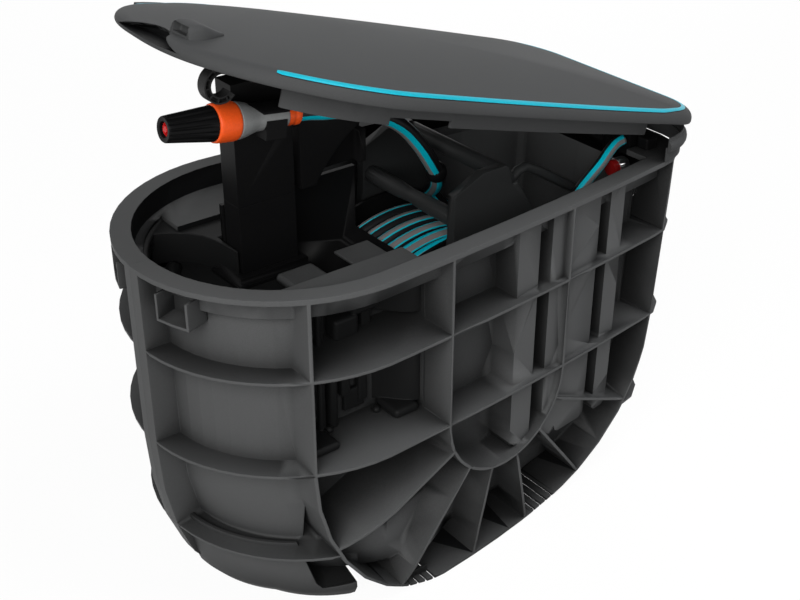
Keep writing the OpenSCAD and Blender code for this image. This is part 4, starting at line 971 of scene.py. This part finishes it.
nozzle_mat = moulded("nozzle_grey", colour=(0.225, 0.233, 0.235), rough=0.36, grain=500.0, bump=0.10,
                     edge=0.0010, gloss=0.3)
body_rings = ((6.0, 12.8), (18.2, 12.8), (19.0, 13.6), (18.7, 17), (17.4, 23), (15.4, 29.5), (13.9, 35),
              (13.5, 39), (13.5, 69), (12.7, 70.8), (6.0, 70.8))
turned_piece("nozzle_body_skin", body_rings, nozzle_mat, "nozzle", "mast", ("nozzle_body",))
orange_mat = moulded("orange_soft", colour=(0.86, 0.095, 0.012), rough=0.42, grain=500.0, bump=0.10,
                     edge=0.0010, gloss=0.3)
ring_rings = ((6.1, -12.5), (18.2, -12.5), (19.3, -11.6), (19.8, -9), (20.0, 0), (19.9, 9), (19.4, 11.6),
              (18.6, 12.5), (6.1, 12.5))
turned_piece("nozzle_ring_skin", ring_rings, orange_mat, "orange", "nozzle_head", ("nozzle_ring",))
connector_rings = ((8.8, 79), (8.8, 86.8), (11, 86.8), (12, 85.6), (12, 82), (11.2, 81), (11.2, 78),
                   (12, 77), (12, 71.6), (11.4, 70.8), (6, 70.8), (6, 79))
turned_piece("hose_connector_skin", connector_rings, orange_mat, "orange", "mast", ("hose_connector",))
tip_rings = ((8.05, -54.4), (8.05, -64.0), (12.3, -64.5), (13.0, -63.4), (13.4, -60), (13.9, -55),
             (14.8, -45), (15.8, -35), (16.8, -25), (17.6, -16), (17.9, -13.4), (17.4, -12.6),
             (6.0, -12.6), (6.0, -54.4))
flute_depths, flute_count = (0, 0, 0, 0.4, 1.5, 1.8, 1.8, 1.7, 1.4, 0.5, 0, 0, 0, 0), 14


def tip_flutes(a, k):
    return flute_depths[k] * max(0.0, math.cos(flute_count * a)) ** 0.7


turned_piece("nozzle_tip_skin", tip_rings, dark_mat, "dark", "nozzle_head", ("nozzle_tip",),
             flute=tip_flutes, steps=168)
red_mat = moulded("red_insert", colour=(0.55, 0.012, 0.012), rough=0.3, grain=400.0, bump=0.05, edge=0.0006,
                  gloss=0.3)
insert_rings = ((0.2, -54.6), (7.9, -54.6), (7.9, -60), (6.4, -61.5), (5.6, -58), (4.0, -58), (3.2, -62.5),
                (0.2, -62.5))
turned_piece("nozzle_insert_skin", insert_rings, red_mat, "orange", "nozzle_head", ("nozzle_insert",),
             steps=48)

saddle_z, saddle_steps = (24, 27, 30, 33, 36, 40, 48, 56, 64, 69, 70.2), 16
saddle_proud, saddle_low, saddle_high = 1.5, 23, 70.9
body_r, flare_end, flare_rise, flare_len = 13.5, 37, 5.3, 24
bm = bmesh.new()
rows = []
for z in saddle_z:
    half_angle = math.radians(16 + 46 * share_of(z, saddle_z[0], 16))
    body_here = body_r + flare_rise * max(0.0, (flare_end - z) / flare_len) ** 1.4
    fade = min(1.0, (z - saddle_low) / 3, (saddle_high - z) / 0.7 + 0.4)
    row = []
    for k in range(saddle_steps + 1):
        u = -1 + 2 * k / saddle_steps
        proud = saddle_proud * (1 - abs(u) ** 6) * fade + 0.08
        row.append(bm.verts.new(on_nozzle(body_here + proud, math.pi + half_angle * u, z)))
    rows.append(row)
loft(bm, rows, around=False)
bmesh.ops.recalc_face_normals(bm, faces=bm.faces)
bmesh.ops.solidify(bm, geom=bm.faces[:], thickness=0.0012)
finish_piece(bm, "nozzle_inlay_skin", dark_mat, "dark", "mast", 40.0, ("nozzle_inlay",))

# Steel and plated pieces: axle, bushes, ratchet, pawl, pins and springs, and the water fitting.
# Turned or bent from bright steel; the fitting is nickel-plated brass.
steel_mat = bpy.data.materials.new("steel_turned")
steel_mat.use_nodes = True
sn, sl = steel_mat.node_tree.nodes, steel_mat.node_tree.links
s_bsdf = sn["Principled BSDF"]
s_bsdf.inputs["Metallic"].default_value = 1.0
s_coord = sn.new("ShaderNodeTexCoord")
s_noise = add_node(sn, "ShaderNodeTexNoise", {"Scale": 260.0})
s_map = add_node(sn, "ShaderNodeMapRange", {"To Min": 0.2, "To Max": 0.42})
s_tone = add_node(sn, "ShaderNodeMixRGB",
                  {"Color1": (0.46, 0.47, 0.48, 1), "Color2": (0.62, 0.63, 0.64, 1)})
wire(sl, (s_coord, "Object", s_noise, "Vector"), (s_noise, "Fac", s_map, "Value"),
         (s_map, "Result", s_bsdf, "Roughness"), (s_noise, "Fac", s_tone, "Fac"),
         (s_tone, "Color", s_bsdf, "Base Color"))
for node, body in (("latch_spring", "lid"), ("hinge_pin", "carrier"), ("guide_pin", "mast"),
                   ("reel_axle", "reel"), ("ratchet_wheel", "reel"), ("pawl", "pawl_arm"),
                   ("pawl_pin", "base"), ("axle_bush_front", "base"), ("axle_bush_back", "base"),
                   ("rewind_spring", "base")):
    skin_of(node, steel_mat, "steel", body)
skin_of("inlet_fitting", steel_mat, "nickel", "base")

# Seam screws: eight hexagon bolts with pressed flanges that hold the two tub halves together.
# Zinc-plated steel, four in each end flange, driven from the back half into the front.
bolt_sizes = {"Head radius": 0.0058, "Head height": 0.004, "Flange radius": 0.0065,
              "Flange height": 0.0013, "Shank radius": 0.003, "Shank length": 0.023, "Seat": 0.014}
bolt_tree, b_in, b_out = node_tree("seam_bolts", bolt_sizes)
bn, bl = bolt_tree.nodes, bolt_tree.links
b_all = bn.new("GeometryNodeJoinGeometry")
for radius, depth, sides, way in (("Head radius", "Head height", 6, 1),
                                  ("Flange radius", "Flange height", 28, 1),
                                  ("Shank radius", "Shank length", 18, -1)):
    tube = add_node(bn, "GeometryNodeMeshCylinder", {"Vertices": sides})
    mid = add_node(bn, "ShaderNodeMath", {1: 0.5 * way}, operation="MULTIPLY_ADD")
    shift = bn.new("ShaderNodeCombineXYZ")
    turn = add_node(bn, "GeometryNodeTransform", {"Rotation": (math.pi / 2, 0, 0)})
    wire(bl, (b_in, radius, tube, "Radius"), (b_in, depth, tube, "Depth"), (b_in, depth, mid, 0),
             (b_in, "Seat", mid, 2), (mid, "Value", shift, "Y"), (tube, "Mesh", turn, "Geometry"),
             (shift, "Vector", turn, "Translation"), (turn, "Geometry", b_all, "Geometry"))
b_put = bn.new("GeometryNodeInstanceOnPoints")
b_real = bn.new("GeometryNodeRealizeInstances")
b_finish = bn.new("GeometryNodeSetMaterial")
wire(bl, (b_in, "Geometry", b_put, "Points"), (b_all, "Geometry", b_put, "Instance"),
         (b_put, "Instances", b_real, "Geometry"), (b_real, "Geometry", b_finish, "Geometry"),
         (b_in, "Finish", b_finish, "Material"), (b_finish, "Geometry", b_out, "Geometry"))
screw_low, screw_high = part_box("seam_screws")
screw_x = (screw_low[0] + bolt_sizes["Flange radius"], screw_high[0] - bolt_sizes["Flange radius"])
rim_height, screw_shares = 0.410, (0.9, 0.82, 0.66, 0.56)
screw_places = [(x, 0, rim_height * share) for x in screw_x for share in screw_shares]
grown_piece(bolt_tree, "seam_screws_skin", screw_places, bolt_sizes, steel_mat, "steel", "base",
            ("seam_screws",))

# Water seals: a red sealing ring on the inlet fitting and a black rubber ring in the reel's swivel.
# Moulded rubber; the red ring is drawn in to the size that shows at the inlet.
ring_mat = moulded("sealing_ring_red", colour=(0.22, 0.006, 0.006), rough=0.4, grain=400.0, bump=0.05,
                   edge=0.0006, gloss=0.2)
ring_r = 0.0095
bm = bmesh.new()
bm.from_mesh(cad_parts["inlet_ring"].data)
ring_mid = sum((v.co for v in bm.verts), Vector()) / len(bm.verts)
for v in bm.verts:
    reach = (v.co - ring_mid) * Vector((0, 1, 1))
    if reach.length > ring_r:
        v.co -= reach * (1 - ring_r / reach.length)
finish_piece(bm, "inlet_ring_skin", ring_mat, "red", "base", 30.0, ("inlet_ring",))
seal_mat = moulded("seal_rubber", colour=(0.012, 0.012, 0.012), rough=0.55, grain=300.0, bump=0.2,
                   edge=0.0006)
skin_of("swivel_seal", seal_mat, "hose", "base")
